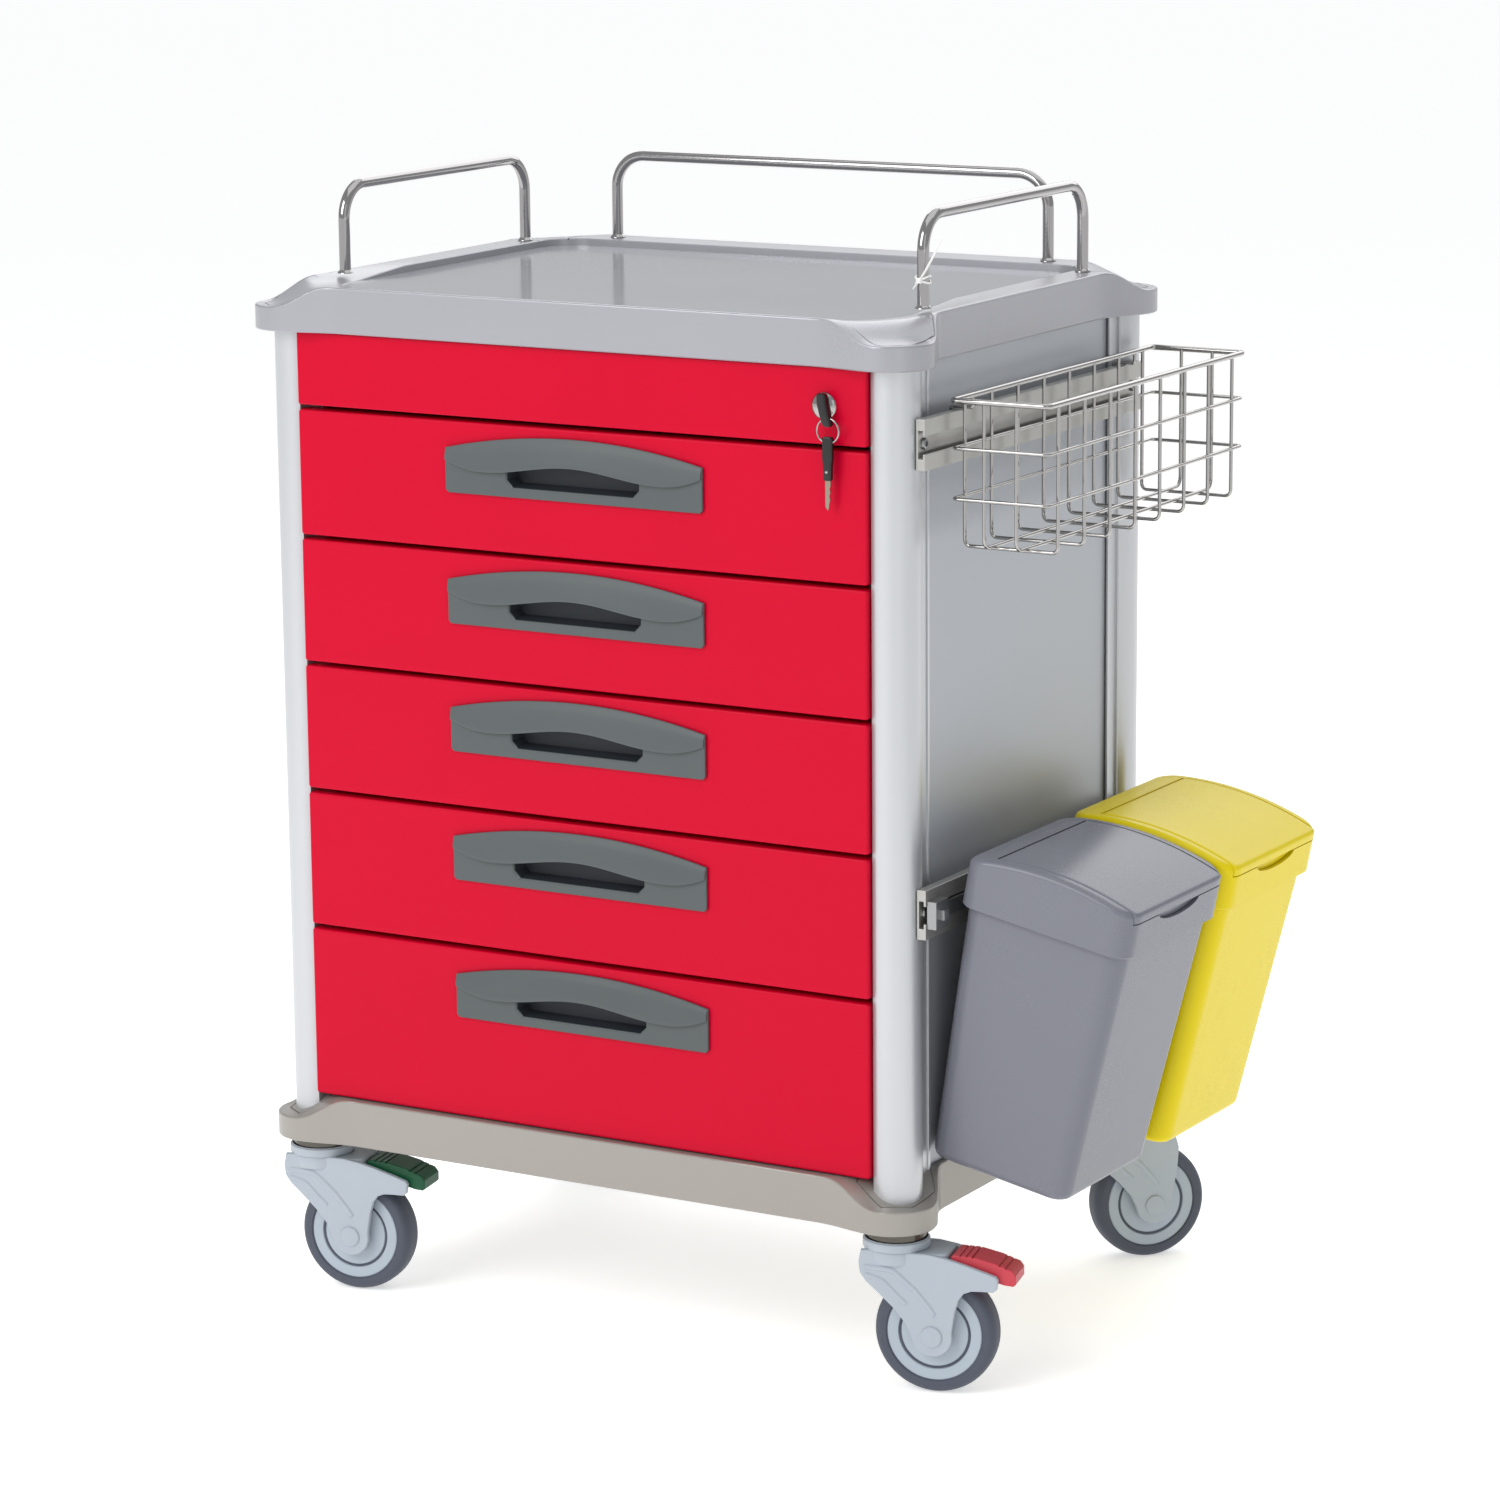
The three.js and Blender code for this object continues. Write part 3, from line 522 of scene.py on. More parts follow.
def top_tray():
    outer, inner = zip(*joined_pairs(TOP_TRAY))
    outer, inner = list(outer), list(inner)
    rings = tray_rings(TOP_TRAY, outer, inner, [rim_level(y) for x, y in inner])
    edge = 0.8
    rings.append([Vector((x, y, r.z - edge)) for (x, y), r in zip(offset(inner, edge), rings[-1])])
    rings.append(raise_outline(offset(inner, edge + 0.3), SHEET["z"] - 0.6))
    body = grooved(TOP_TRAY, loft(bmesh.new(), rings), TOP_CAP)
    piece("top_tray_shell", body, "cabinet", TRAY, ["top_tray"], sharp=30)
    sheet = prism(bmesh.new(), offset(inner, edge + 0.5), SHEET["z"] - 0.9, SHEET["z"], soften=0.4)
    piece("worktop_sheet", sheet, "cabinet", WORKTOP)


def base_tray():
    outer, inner = zip(*joined_pairs(BASE_TRAY))
    level = [BASE_TRAY["top"]] * len(inner)
    body = loft(bmesh.new(), tray_rings(BASE_TRAY, list(outer), list(inner), level))
    body = grooved(BASE_TRAY, body, BASE_CAP)
    piece("base_tray_shell", body, "cabinet", BASE, ["base_tray"], sharp=30)


# ---------- frame ----------
def column_outline(side, end):
    """Section of a column: a round face, and in front a step for the drawer fronts to sit in."""
    x, y, radius = side * COLUMN_X, COLUMN_Y[end], COLUMN_RADIUS
    if end == "rear":
        return arc(x, y, radius, 0, 351, 39)
    notch = COLUMN_X - (face_high.x - ORIGIN.x) / MM - 1.2
    start = math.degrees(math.asin(notch / radius)) + 90
    outline = arc(COLUMN_X, y, radius, -start, 180, 48) + [(COLUMN_X - notch, y)]
    return [(side * px, py) for px, py in outline]


def columns():
    top = cad("column_front_right")[5]
    ear = BASE_TRAY["top"] - BASE_TRAY["drop"]
    for name, (side, end, _) in CORNERS.items():
        body = bmesh.new()
        prism(body, column_outline(side, end), BASE_TRAY["bottom"] + 12, top)
        towards = 1 if end == "front" else -1
        for start, stop, low, high in FLANGE:
            xs = sorted((side * low, side * high))
            ys = sorted((COLUMN_Y[end] + towards * start, COLUMN_Y[end] + towards * stop))
            block(body, *xs, *ys, ear - 3, top)
        piece(f"column_{name}_section", body, "cabinet", ALUMINIUM, [f"column_{name}"],
              sharp=25)


def guard_rail(name, start, end):
    """A bent tube with a slightly spread foot at each end."""
    low, high = TOP_TRAY["top"] + 0.3, cad("guard_rail_rear")[5] - RAIL_RADIUS
    path = rounded_path([(*start, low), (*start, high), (*end, high), (*end, low)], BEND, 12)
    body = sweep(bmesh.new(), path, RAIL_RADIUS, 24)
    foot = [(6.6, low), (6.4, low + 0.8), (5.4, low + 1.8), (4.6, low + 3)]
    for x, y in (start, end):
        revolve(body, foot, (x, y, 0), "z", 24)
    piece(f"guard_rail_{name}_tube", body, "cabinet", STAINLESS, [f"guard_rail_{name}"],
          sharp=40)


def guard_rails():
    for name in SIDES:
        x0, x1, y0, y1, _, _ = cad(f"guard_rail_{name}")
        middle = (x0 + x1) / 2
        guard_rail(name, (middle, y0 + RAIL_RADIUS), (middle, y1 - RAIL_RADIUS))
    x0, x1, y0, y1, _, _ = cad("guard_rail_rear")
    middle = (y0 + y1) / 2
    guard_rail("rear", (x0 + RAIL_RADIUS, middle), (x1 - RAIL_RADIUS, middle))


def rail_screw(place):
    """A round-headed screw with a socket, as a mesh at its place."""
    head = [(4.6, 0), (4.6, 1.2), (3.9, 2.2), (2.2, 2.6), (2.0, 1.2), (0.4, 1.1)]
    turned = revolve(bmesh.new(), head, (0, 0, 0), "z", 20)
    mesh = bpy.data.meshes.new("screw")
    turned.to_mesh(mesh)
    turned.free()
    mesh.transform(place @ Matrix.Rotation(math.pi / 2, 4, "Y"))
    return mesh


def accessory_rails():
    """Slotted bars with inward lips, screwed on near both ends."""
    wall, slot, lip = 2, 9, 13
    for level in ("upper", "lower"):
        x0, x1, y0, y1, z0, z1 = cad(f"accessory_rail_{level}")
        outline = [
            (x0, z0), (x1, z0), (x1, z0 + lip), (x1 - wall, z0 + lip), (x1 - wall, z0 + slot),
            (x0 + wall, z0 + slot), (x0 + wall, z1 - slot), (x1 - wall, z1 - slot), (x1 - wall, z1 - lip),
            (x1, z1 - lip), (x1, z1), (x0, z1),
        ]
        piece(f"accessory_rail_{level}_section", prism(bmesh.new(), outline, y0, y1, "y"), "cabinet",
              RAIL_METAL, [f"accessory_rail_{level}"], bevel=0.5)
        screws = bmesh.new()
        for y in (y0 + 9, y1 - 9):
            screws.from_mesh(rail_screw(Matrix.Translation((x0 + wall, y, (z0 + z1) / 2))))
        piece(f"accessory_rail_{level}_screws", screws, "cabinet", ZINC)


def kept_cad_nodes():
    for side in SIDES:
        keep_cad(f"side_panel_{side}", PANEL, 0.6)
        keep_cad(f"runner_rack_{side}", ZINC)
    keep_cad("back_panel", PANEL, 0.6)
    keep_cad("lock_bar", ZINC, 0.4)
    keep_cad("bin_hanger", ZINC, 0.5)
    for number in DRAWERS:
        keep_cad(f"drawer_{number}_box", BOX, 0.5)
    for name in CORNERS:
        keep_cad(f"caster_stem_{name}", DARK_STEEL, 0.4)


# ---------- drawers and lock ----------
def handle_arch(x):
    """Height of the handle's upper edge above its lower edge."""
    return HANDLE["ends"] + (HANDLE["peak"] - HANDLE["ends"]) * (1 - (x / HANDLE["half"]) ** 2)


def hood_edge(x):
    """Height of the hood's lower edge: arched over the opening, dipping beside it, rising to the ends."""
    away = abs(x)
    if away < DIP["x"]:
        return DIP["z"] + (GRIP["peak"] - DIP["z"]) * (1 + math.cos(math.pi * away / DIP["x"])) / 2
    t = (away - DIP["x"]) / (HANDLE["half"] - DIP["x"])
    return DIP["z"] + (DIP["ends"] - DIP["z"]) * t ** 2


def grip_outline(grow=0.0):
    """The finger opening: flat below with cut corners, arched above."""
    half, low, corner = GRIP["half"] + grow, GRIP["low"] - grow, GRIP["corner"]
    outline = [(-half + corner, low), (half - corner, low), (half, low + corner)]
    steps = 16
    for i in range(steps + 1):
        x = half - 2 * half * i / steps
        outline.append((x, hood_edge(x) + 1.5 + grow))
    outline.append((-half, low + corner))
    return outline


def lifted(outline, z):
    return [(x, y + z) for x, y in outline]


def handle_plate(z):
    half, plate, corner, steps = HANDLE["half"], HANDLE["plate"], 2.5, 24
    across = [half - 2 * half * i / steps for i in range(steps + 1)]
    arch = [(x, handle_arch(x)) for x in across]
    outline = [(-half, corner), (-half + corner, 0), (half - corner, 0), (half, corner), *arch]
    body = prism(bmesh.new(), lifted(outline, z), -0.2, -plate, "y", 0.9, 3)
    opening, wide = lifted(grip_outline(), z), lifted(grip_outline(1.4), z)
    levels = ((opening, 2), (opening, -plate + 1.4), (wide, -plate - 0.1))
    return subtract(body, loft(bmesh.new(), [raise_outline(ring, level, "y") for ring, level in levels]))


def handle_hood(bm, z):
    """The overhanging upper lip that the fingers pull on."""
    half = HANDLE["half"] - 0.6
    steps = 48
    rings = []
    for i in range(steps + 1):
        x = -half + 2 * half * i / steps
        low, high = hood_edge(x), handle_arch(x)
        out = 1.2 + HANDLE["bulge"] * math.sqrt(max(0, 1 - (x / (half + 1)) ** 2))
        face = HANDLE["plate"]
        ring = [(-face + 1, low + 2.2), (-face - out * 0.6, low + 0.9), (-face - out * 0.9, low + 0.2),
                (-face - out, low + 1.4)]
        for k in range(1, 8):
            v = k / 7
            ring.append((-face - out * (1 - 0.72 * v - 0.28 * v ** 6), low + 1.4 + v * (high - low - 2.4)))
        ring.append((-face + 0.2, high - 0.1))
        ring.append((-face + 1, high - 1.4))
        rings.append([Vector((x, a, b + z)) for a, b in ring])
    loft(bm, rings)


def grip_pocket(z):
    """The recess behind the finger opening, a thin shell that narrows to the back, coloured a darker grey
    than the handle as painted shade inside it.
    """
    depth, shape = GRIP["depth"], grip_outline(0.9)
    outer, outer_back = lifted(shape, z), lifted(offset(shape, 2.5), z)
    inner, inner_back = offset(outer, 1), offset(outer_back, 1)
    levels = ((inner_back, depth - 1), (inner, 0), (outer, 0), (outer_back, depth))
    return loft(bmesh.new(), [raise_outline(ring, level, "y") for ring, level in levels])


def drawers():
    for number in DRAWERS:
        x0, x1, y0, y1, z0, z1 = cad(f"drawer_{number}_front")
        base = z1 - HANDLE["bottom"]
        face = prism(bmesh.new(), round_rect(x0, x1, z0, z1, 2.2, 3), y1, y0, "y", 2.0, 3)
        pocket = prism(bmesh.new(), lifted(grip_outline(1.2), base), -1, GRIP["depth"] + 0.6, "y")
        name = f"drawer_{number}"
        piece(f"{name}_face", subtract(face, pocket), name, RED, [f"{name}_front"], sharp=30)
        handle = handle_plate(base)
        handle_hood(handle, base)
        piece(f"{name}_handle_moulding", handle, name, HANDLE_GREY, [f"{name}_handle"],
              sharp=38)
        # The pocket's darker grey is painted shade inside the grip.
        piece(f"{name}_grip_pocket", grip_pocket(base), name, POCKET_PAINTED_SHADE, sharp=30)


def lock():
    x0, x1, y0, y1, z0, z1 = cad("lock_panel")
    body = prism(bmesh.new(), round_rect(x0 + 1, x1 - 1, z0, z1, 2.0, 3), y1, y0, "y", 1.6, 3)
    piece("lock_panel_face", body, "cabinet", RED, ["lock_panel"], sharp=30)
    x0, x1, _, back, z0, z1 = cad("lock_body")
    x, z = (x0 + x1) / 2, (z0 + z1) / 2
    profile = [(0.5, -4.6), (3.5, -4.4), (6.5, -3.8), (9.0, -2.6), (10.6, -1.2), (11.0, -0.2), (9.0, 0.4),
               (9.0, back)]
    bezel = revolve(bmesh.new(), profile, (x, 0, z), "y", 40)
    piece("lock_bezel", bezel, "cabinet", CHROME, ["lock_body"], sharp=40)
    key(x, z)
    spare_key()


def slab_grip(bm, stations, y, half_thick):
    """A key's plastic grip: an oblong section that follows the stations (x, z, half width) downwards."""
    rings = []
    last = len(stations) - 1
    for i, (x, z, half) in enumerate(stations):
        thick = half_thick * (0.7 if i in (0, last) else 1.0)
        outline = round_rect(x - half, x + half, y - thick, y + thick, min(half, thick) * 0.6, 3)
        rings.append([Vector((a, b, z)) for a, b in outline])
    return loft(bm, rings)


def key(x, z):
    """The key in the lock: a leaning grip, and the flat bar that goes into the barrel."""
    stations = [(x + 3, z + 11, 2.6), (x + 3, z + 10, 3.8), (x + 3.5, z + 3, 4.2),
                (x + 0.7 * KEY_LEAN, z - 5, 4.2), (x + KEY_LEAN, z - 13, 3.9), (x + KEY_LEAN, z - 14.5, 2.8)]
    body = slab_grip(bmesh.new(), stations, -8.5, 3.4)
    prism(body, round_rect(x - 1.1, x + 1.1, z - 3, z + 3, 0.5, 2), -7.5, -3.4, "y")
    piece("key_grip", body, "key", BLACK, ["key_in_lock"], sharp=40)


def spare_key():
    """The ring with the second key on it: grip, rivet and toothed blade, hanging straight down."""
    x0, x1, y0, y1, _, z1 = cad("spare_key")
    x, y = (x0 + x1) / 2, (y0 + y1) / 2
    radius, wire = 9.6, 0.8
    centre = z1 - radius - wire
    turns = [TAU * i / 48 for i in range(48)]
    ring = [(x + radius * math.cos(a), y, centre + radius * math.sin(a)) for a in turns]
    piece("key_ring", sweep(bmesh.new(), ring, wire, 10, closed=True), "spare_key", CHROME,
          sharp=60)
    low = centre - radius
    widths = [(5, 3.4), (4, 4.4), (-12, 4.4), (-17, 3.6), (-28, 3.5), (-29, 2.8)]
    grip = slab_grip(bmesh.new(), [(x, low + up, half) for up, half in widths], y, 2.6)
    piece("spare_key_grip", grip, "spare_key", BLACK, ["spare_key"], sharp=40)
    head = [(0.3, -3.1), (1.1, -3.0), (1.4, -2.6), (1.4, -1.8)]
    rivet = revolve(bmesh.new(), head, (x, y, low - 22), "y", 16)
    piece("spare_key_rivet", rivet, "spare_key", CHROME, sharp=40)
    teeth = [(2.4, 28), (2.4, 33), (1.6, 35), (2.3, 38), (1.4, 41), (2.2, 44), (1.3, 47), (1.0, 50),
             (0, 52.5), (-2.2, 49.5), (-2.4, 28)]
    blade = prism(bmesh.new(), [(x + a, low - down) for a, down in teeth], y - 0.7, y + 0.7, "y")
    piece("spare_key_blade", blade, "spare_key", BRASS, bevel=0.25)


# ---------- basket ----------
def basket():
    """Welded wires: a thick rim, two thin loops, hoops across, long wires and two hooks over the rail."""
    x0, x1, y0, y1, z0, z1 = cad("basket")
    inner = x1 - 88
    thick, thin, hoops = 2.4, 1.5, 8
    body = bmesh.new()

    def loop(level, radius, inset):
        near, far, front, back = inner + inset, x1 - inset, y0 + inset, y1 - inset
        corners = [(near, front, level), (far, front, level), (far, back, level), (near, back, level)]
        sweep(body, rounded_path(corners, 4.5, 6, closed=True), radius, 10, closed=True)

    loop(z1 - thick, thick, thick)
    for share in (0.33, 0.66):
        loop(z1 - share * (z1 - z0), thin, thin + 1.5)
    top = z1 - 3
    near, far, low = inner + 3.5, x1 - 3.5, z0 + thin
    for i in range(hoops):
        y = y0 + 22 + i * (y1 - y0 - 44) / (hoops - 1)
        corners = [(near, y, top), (near, y, low), (far, y, low), (far, y, top)]
        sweep(body, rounded_path(corners, 5, 5), thin, 10)
    front, back, low = y0 + 3.5, y1 - 3.5, z0 + thin + 2
    for x in (inner + 30, x1 - 30):
        corners = [(x, front, top), (x, front, low), (x, back, low), (x, back, top)]
        sweep(body, rounded_path(corners, 8, 5), thin, 10)
    rail_top = cad("accessory_rail_upper")[5]
    for y in (y0 + 36, y1 - 36):
        corners = [(inner + 3, y, z1 - 4), (inner + 3, y, rail_top + 2), (x0 + thin, y, rail_top + 2),
                   (x0 + thin, y, rail_top - 14)]
        sweep(body, rounded_path(corners, 2.2, 5), thin, 10)
    piece("basket_wires", body, "basket", CHROME, ["basket"], sharp=60)


# ---------- bins ----------
BINS = {"grey_bin": (127, "bin_grey", BIN_GREY), "yellow_bin": (309, "bin_yellow", BIN_YELLOW)}


def bin_place(y):
    return Matrix.Translation((BIN_SEAT[0], y, BIN_SEAT[1])) @ Matrix.Rotation(BIN_TILT, 4, "Y")


def tub():
    """A tapered tub with round corners, rolled lower edge and a hollow inside."""
    lower, upper, bottom, rim, wall, roll = (-8, 116, 76), (-16.5, 127.5, 83), -14, 226, 2.2, 7

    def ring(t, z, inset, radius):
        x0, x1, half = (a + (b - a) * t for a, b in zip(lower, upper))
        return raise_outline(round_rect(x0 + inset, x1 - inset, -half + inset, half - inset, radius), z)

    rings = [ring(0, bottom + up, inset, 16 - inset) for up, inset in quarter(roll, 5)]
    for i in range(1, 9):
        t = i / 8
        rings.append(ring(t, bottom + roll + t * (rim - bottom - roll), 0, 16 + 2 * t))
    rings.append(ring(1, rim, wall, 16))
    rings.append(ring(0.02, bottom + 4, wall, 12))
    return loft(bmesh.new(), rings)


LID = {"back": -19, "front": 131, "half": 88, "low": 200, "top": 240, "dome": 9, "corner": 18, "wall": 2.4}
FLAP = {"back": 5, "side": 78, "lip": 12}
SCOOP = {"half": 36, "deep": 8}


def dense(outline, step=7):
    """The outline with points added along its straight stretches."""
    points = []
    for (ax, ay), (bx, by) in zip(outline, outline[1:] + outline[:1]):
        count = max(1, math.ceil(math.dist((ax, ay), (bx, by)) / step))
        points.extend((ax + (bx - ax) * k / count, ay + (by - ay) * k / count) for k in range(count))
    return points


def dome(x):
    """Height of the lid's domed top along its length."""
    t = (x - LID["back"]) / (LID["front"] - LID["back"])
    start, control, end = LID["top"] - 2, LID["top"] + 2 * LID["dome"], LID["top"] - 4
    return (1 - t) ** 2 * start + 2 * t * (1 - t) * control + t ** 2 * end


def on_dome(outline, lift=0.0):
    return [Vector((x, y, dome(x) + lift)) for x, y in outline]


def collar():
    """The lid's frame: a deep collar round the tub with a rounded shoulder up to the flap."""
    outline = dense(round_rect(LID["back"], LID["front"], -LID["half"], LID["half"], LID["corner"], 8))
    low, wall, shoulder, border = LID["low"], LID["wall"], 5, 11
    skirt = ((wall, 1), (wall - 0.6, 0), (0.8, 0), (0, 0.9))
    rings = [raise_outline(offset(outline, inset), low + up) for inset, up in skirt]
    rings += [on_dome(offset(outline, inset), -down) for inset, down in quarter(shoulder, 4)]
    rings += [on_dome(offset(outline, border)), on_dome(offset(outline, border), -10)]
    rings.append(raise_outline(offset(outline, wall + 0.5), LID["top"] - 16))
    return loft(bmesh.new(), rings, capped=False, looped=True)


def lid_frame():
    """The collar with the flap's opening, the finger scoop in front and the fixed strip at the back."""
    seam, gap = LID["top"] - FLAP["lip"], 0.6
    side, back = FLAP["side"] + gap, FLAP["back"] - gap
    room = round_rect(back, LID["front"] + 20, -side, side, 5, 3)
    opening = prism(bmesh.new(), room, seam, LID["top"] + 30)
    half, deep = SCOOP["half"], SCOOP["deep"]
    turns = [math.pi * i / 16 for i in range(17)]
    moon = [(half * math.cos(a), seam + 0.5 - deep * math.sin(a)) for a in turns]
    scoop = [(half, seam + 3), *moon, (-half, seam + 3)]
    cutter = prism(bmesh.new(), scoop, LID["front"] - 8, LID["front"] + 5, "x")
    body = subtract(collar(), opening, cutter)
    strip = dense(round_rect(LID["back"] + 8, back, -LID["half"] + 8, LID["half"] - 8, 3, 3))
    return loft(body, [on_dome(strip, -3), on_dome(strip, -0.02)])


def lid_flap():
    """The domed flap with its lip turned down over the front of the collar."""
    corner, side, back, steps = LID["corner"], FLAP["side"], FLAP["back"], 30
    start = LID["half"] - corner
    front = []
    for i in range(steps + 1):
        y = -side + 2 * side * i / steps
        over = max(0.0, abs(y) - start)
        front.append((LID["front"] - corner + math.sqrt(corner ** 2 - over ** 2), y))
    outline = dense([(back, -side), *front, (back, side)])
    middle = (back + LID["front"]) / 2

    def shrunk(share, inset):
        return [(middle + share * (x - middle), share * y) for x, y in offset(outline, inset)]

    thick, edge, proud = 2.4, 3, 0.4
    low = LID["top"] - FLAP["lip"] + 0.5
    lip = ((thick, 0), (0.5, 0), (0, 0.6))
    shares = (0.97, *(k / 10 for k in range(9, 0, -1)), 0.04)
    rings = [on_dome(shrunk(share, thick), -thick) for share in (0.04, 0.3, 0.6, 1)]
    rings += [raise_outline(offset(outline, inset), low + up) for inset, up in lip]
    rings += [on_dome(offset(outline, inset), proud - down) for inset, down in quarter(edge, 4)]
    rings += [on_dome(shrunk(share, edge), proud) for share in shares]
    return loft(bmesh.new(), rings)


def bins():
    for name, (y, slot, material) in BINS.items():
        place = bin_place(y)
        piece(f"{name}_tub", tub(), name, material, [f"{name}_bucket"], place, sharp=40)
        piece(f"{name}_collar", lid_frame(), name, material, [f"{name}_lid_frame"], place)
        piece(f"{name}_flap", lid_flap(), f"{name}_lid", material, [f"{name}_lid_flap"], place)


# ---------- casters ----------
AXLE = (34, 50)
AXLE_CENTRE = (AXLE[0], 0, AXLE[1])
ARM = (17.2, 22.2)
WHEEL_HALF = 13.2
BRAKED = {"front_left": ("pedal_green", GREEN), "front_right": ("pedal_red", PEDAL_RED)}
FINGERS = [([(-20, 104), (2, 103), (20, 88), (32, 74), (36, 68)], 3),
           ([(-20, 98), (-6, 94), (6, 82), (13, 76)], 2.5)]
# Place and tilt in radians of each groove across a pedal.
GROOVES = ((56, 117.0, 0.05), (61, 116.9, 0.1), (66, 116.4, 0.2), (88, 111.2, 0.3), (93, 109.4, 0.35))


def arm_outline(braked):
    """Side view of a caster arm: broad below the crown, narrowing to a round end at the axle."""
    if braked:
        outline = [(-24, 118), (30, 118), (45, 115.5), (60, 111.5), (75, 107), (86, 103.5), (88, 101),
                   (87, 93), (84, 90.5), (75, 90.5), (66, 90), (60, 87.5), (56, 82)]
    else:
        outline = [(-24, 118), (36, 118), (46, 116), (53, 110), (56, 100), (55, 85)]
    outline.extend([(53, 72), (51, 60)])
    outline.extend(arc(*AXLE, 16.5, 12, -150, 14))
    outline.extend([(17, 50), (12, 60), (2, 72), (-11, 84), (-20, 92), (-25, 99), (-26, 108)])
    return outline


def revolve_ring(bm, profile, sides=48):
    """A turned ring about the swivel's axis from its closed section (radius, height)."""
    rings = [[Vector((radius * math.cos(TAU * i / sides), radius * math.sin(TAU * i / sides), z))
              for radius, z in profile] for i in range(sides)]
    return loft(bm, rings, looped=True)


def caster_fork(braked):
    """The housing: round crown, two arms with raised fingers and axle covers, bridge and dust ring."""
    body = bmesh.new()
    crown = [(9.6, 107), (22, 106), (25, 107), (26, 110), (26, 115), (25, 118.5), (22.5, 120), (9.6, 120)]
    revolve(body, crown, (0, 0, 0), "z", 48)
    cover = [(8.6, 0.0), (8.6, 0.8), (7.8, 1.5), (0.4, 1.8)]
    for side in (-1, 1):
        prism(body, arm_outline(braked), side * ARM[0], side * ARM[1], "y", 1.2, 3)
        face = side * ARM[1]
        revolve(body, [(r, face + side * h) for r, h in cover], AXLE_CENTRE, "y", 28)
        for points, half in FINGERS:
            path = rounded_path([(x, face - side * half * 0.6, z) for x, z in points], 12, 4)
            sweep(body, path, half, 14)
    revolve_ring(body, [(24.5, 118), (24.5, 124.5), (25.4, 125.6), (27, 124.2), (27, 118)])
    bridge = round_rect(-20, 46, -ARM[0] - 0.9, ARM[0] + 0.9, 8, 5)
    prism(body, bridge, 105.5, 117.5, "z", 2.5, 3)
    revolve(body, [(5, -ARM[0]), (5, ARM[0])], AXLE_CENTRE, "y", 20)
    return body


def caster_wheel():
    """The tyre: rounded tread with its sidewalls."""
    half, edge, tread, shoulder = WHEEL_HALF, 44, 6, 9.6
    profile = [(30, -half + 2.4), (38.5, -half + 1.6), (40, -half), (edge, -half)]
    for degrees in range(15, 91, 15):
        a = math.radians(degrees)
        profile.append((edge + tread * math.sin(a), -half + shoulder - shoulder * math.cos(a)))
    profile += [(r, -y) for r, y in reversed(profile)]
    return revolve(bmesh.new(), profile, AXLE_CENTRE, "y", 72)


def caster_hub():
    """The hub disc on both sides, with a ring groove and a domed middle."""
    face = ((0.4, 0.2), (10, 0.3), (20, 0.9), (27, 1.9), (28, 3.2), (29.2, 3.2), (30, 1.2), (38, 0.9),
            (39.2, 1.8), (39.2, 6))
    near = [(radius, -WHEEL_HALF + depth) for radius, depth in face]
    profile = near + [(r, -y) for r, y in reversed(near)]
    return revolve(bmesh.new(), profile, AXLE_CENTRE, "y", 64)


def caster_pedal():
    """The brake pedal, with grooves across it near both ends."""
    side = [(48, 107), (60, 105), (76, 99), (92, 95), (99, 94.5), (101, 96.5), (101, 103.5), (98, 107.5),
            (84, 112.5), (66, 116.6), (50, 117), (48, 115)]
    body = prism(bmesh.new(), side, -15.5, 15.5, "y", 1.3, 3)
    section = [(-0.8, -1.0), (0.8, -1.0), (0.8, 3), (-0.8, 3)]
    cutters = []
    for x, z, tilt in GROOVES:
        groove = prism(bmesh.new(), section, -20, 20, "y")
        groove.transform(Matrix.Translation((x, 0, z)) @ Matrix.Rotation(tilt, 4, "Y"))
        cutters.append(groove)
    return subtract(body, *cutters)


def casters():
    for name, (side, end, turn) in CORNERS.items():
        swivel = Matrix.Rotation(math.radians(turn), 4, "Z")
        place = Matrix.Translation((side * COLUMN_X, COLUMN_Y[end], 0)) @ swivel
        piece(f"caster_{name}_housing", caster_fork(name in BRAKED), f"caster_{name}",
              CASTER, [f"fork_{name}"], place, sharp=35)
        wheel = f"wheel_{name}"
        piece(f"{wheel}_tyre", caster_wheel(), wheel, TYRE, [wheel], place, sharp=40)
        piece(f"{wheel}_hub", caster_hub(), wheel, HUB, (), place, sharp=35)
        if name in BRAKED:
            slot, material = BRAKED[name]
            piece(f"pedal_{name}_moulding", caster_pedal(), f"pedal_{name}", material,
                  [f"brake_pedal_{name}"], place, sharp=35)


# ---------- small fittings ----------
def cable_tie():
    """A nylon tie round the front leg of the right guard rail, its tail pointing up."""
    x0, x1, y0, _, _, _ = cad("guard_rail_right")
    x, y, z = (x0 + x1) / 2, y0 + RAIL_RADIUS, 881
    radius, wire = RAIL_RADIUS + 1, 0.9
    turns = [TAU * i / 24 for i in range(24)]
    body = bmesh.new()
    for tilt in (0.35, -0.25):
        ring = [(x + radius * math.cos(a), y + radius * math.sin(a), z + tilt * radius * math.cos(a) * 1.6)
                for a in turns]
        sweep(body, ring, wire, 8, closed=True)
    tail = ((-6, -5, -7), (0, -6.2, 0), (6, -6, 9), (12, -5, 20), (17, -3, 32))
    sweep(body, [(x + a, y + b, z + c) for a, b, c in tail], wire, 8)
    block(body, x - 2.2, x + 2.2, y - 8.2, y - 5.2, z - 2.2, z + 2.2, 0.4)
    piece("cable_tie", body, "cabinet", TIE, sharp=45)


# ---------- studio ----------
VIEW = {"from": (2125.7, -3360.5, 1338.4), "azimuth": 30.322, "elevation": 11.978, "roll": -0.514,
        "lens": 121.24}


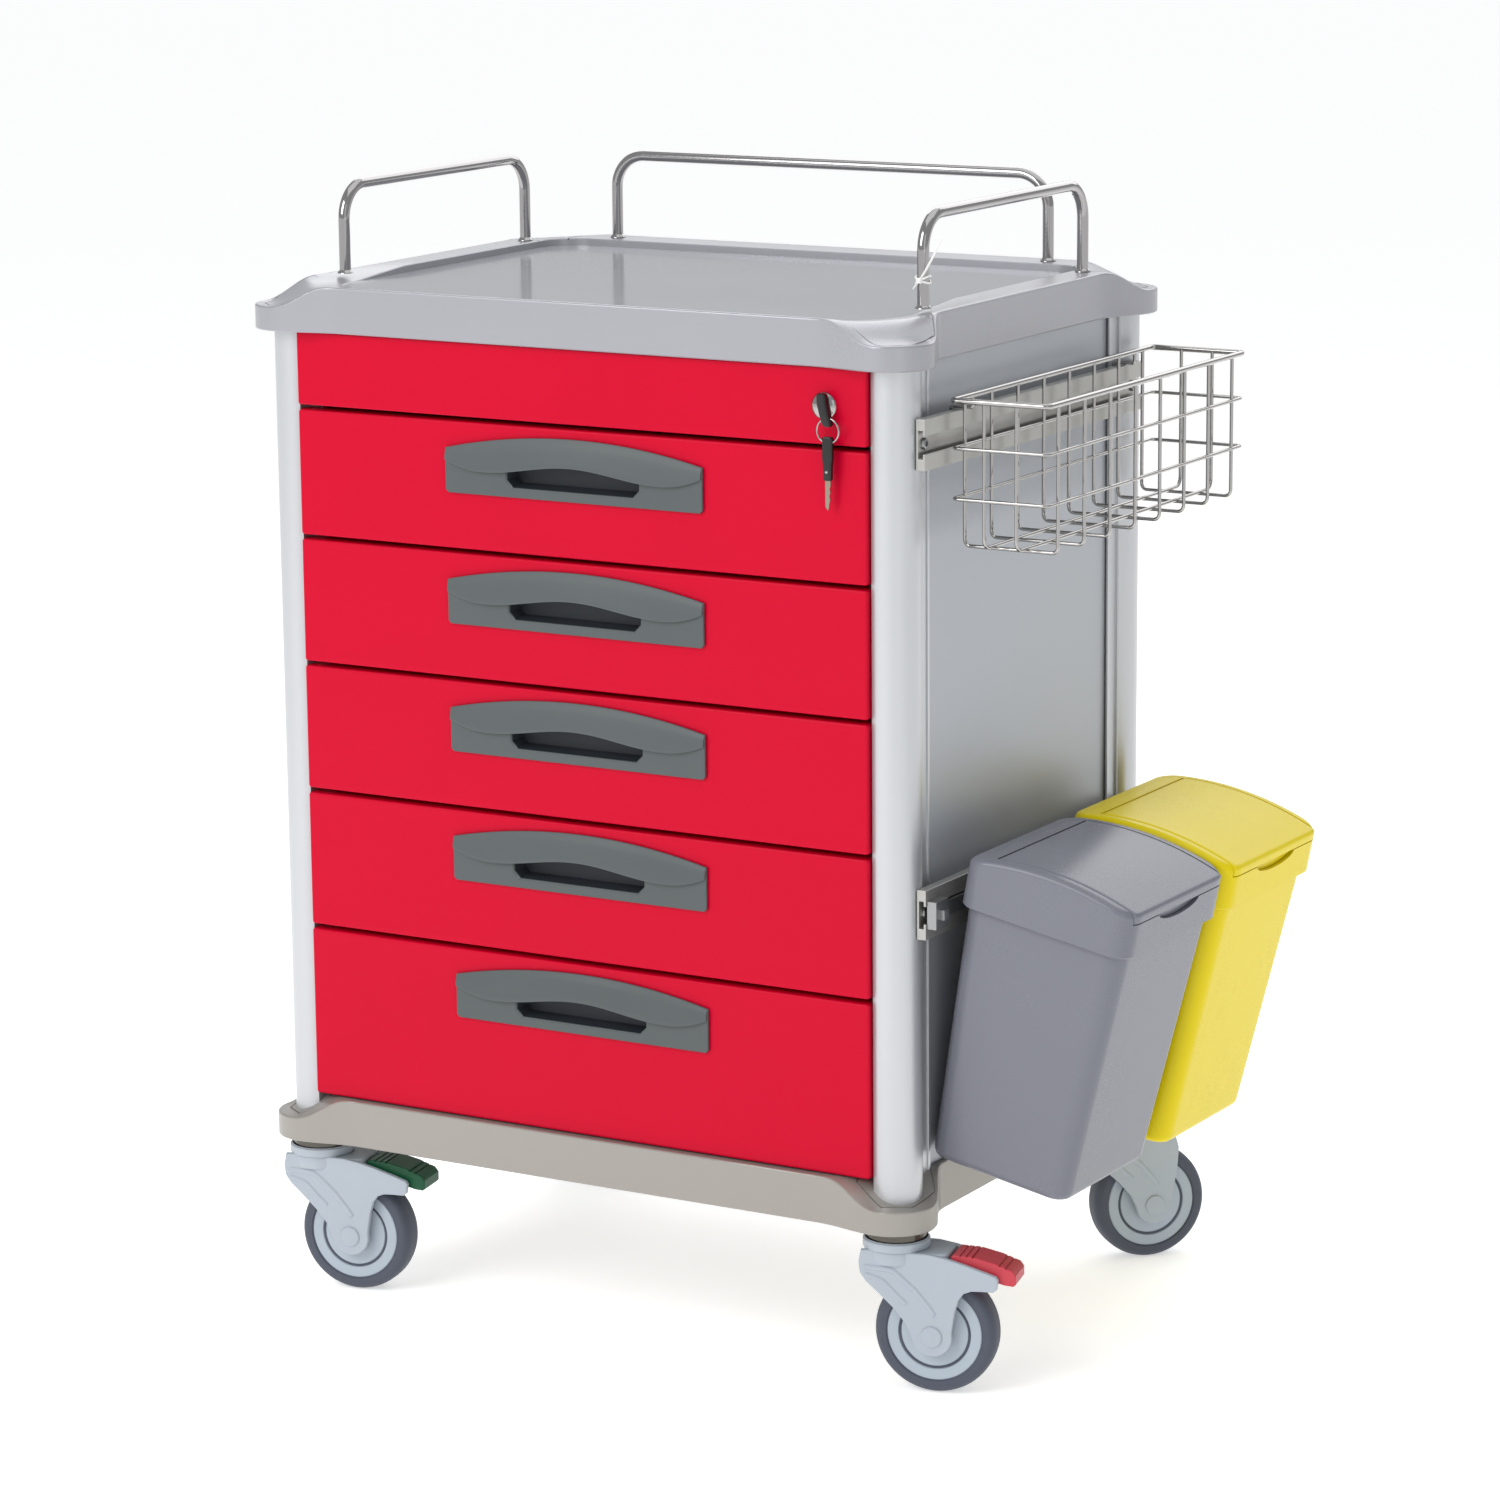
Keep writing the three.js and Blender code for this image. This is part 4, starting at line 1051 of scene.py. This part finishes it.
def studio():
    floor = as_object("studio_floor", floor_mesh())
    floor.data.materials.append(STUDIO)
    lights = {
        "key": ((-1.1, -3.2, 2.5), 2.2, 2.2, 72),
        "fill": ((2.8, -2.4, 1.7), 1.4, 2.4, 6),
        "top": ((0.2, 0.4, 3.4), 3.2, 3.2, 26),
        "back": ((-0.6, 2.6, 2.4), 4.0, 2.0, 40),
    }
    for name, (location, width, height, power) in lights.items():
        data = bpy.data.lights.new(name, "AREA")
        data.shape = "RECTANGLE"
        data.size, data.size_y = width, height
        data.energy = power
        lamp = bpy.data.objects.new(name, data)
        lamp.location = location
        lamp.rotation_euler = (Vector((0, 0, 0.45)) - Vector(location)).to_track_quat("-Z", "Y").to_euler()
        bpy.context.scene.collection.objects.link(lamp)
    world = bpy.data.worlds.new("studio_world")
    world.use_nodes = True
    background = world.node_tree.nodes["Background"]
    background.inputs["Color"].default_value = (0.92, 0.93, 0.95, 1)
    background.inputs["Strength"].default_value = 0.56
    bpy.context.scene.world = world
    bpy.context.scene.view_settings.view_transform = "Standard"


def floor_mesh():
    """A flat floor that reaches past the edge of the view."""
    reach = 30.0
    corners = ((-reach, -reach), (reach, -reach), (reach, reach), (-reach, reach))
    bm = bmesh.new()
    bm.faces.new([bm.verts.new((x, y, 0.0)) for x, y in corners])
    return bm


def camera():
    """Long lens from the front right, about half a metre above the worktop."""
    data = bpy.data.cameras.new("camera")
    data.lens = VIEW["lens"]
    data.sensor_width = 36
    data.clip_end = 50
    obj = bpy.data.objects.new("camera", data)
    azimuth, elevation, roll = (math.radians(VIEW[key]) for key in ("azimuth", "elevation", "roll"))
    look = Vector((-math.sin(azimuth) * math.cos(elevation), math.cos(azimuth) * math.cos(elevation),
                   -math.sin(elevation)))
    right = Vector((math.cos(azimuth), math.sin(azimuth), 0))
    up = right.cross(look)
    turned = right * math.cos(roll) + up * math.sin(roll)
    upright = -right * math.sin(roll) + up * math.cos(roll)
    rotation = Matrix((turned, upright, -look)).transposed()
    location = ORIGIN + Vector(VIEW["from"]) * MM
    obj.matrix_world = Matrix.Translation(location) @ rotation.to_4x4()
    bpy.context.scene.collection.objects.link(obj)
    bpy.context.scene.camera = obj


camera()
studio()
top_tray()
base_tray()
columns()
guard_rails()
accessory_rails()
kept_cad_nodes()
drawers()
lock()
basket()
bins()
casters()
cable_tie()
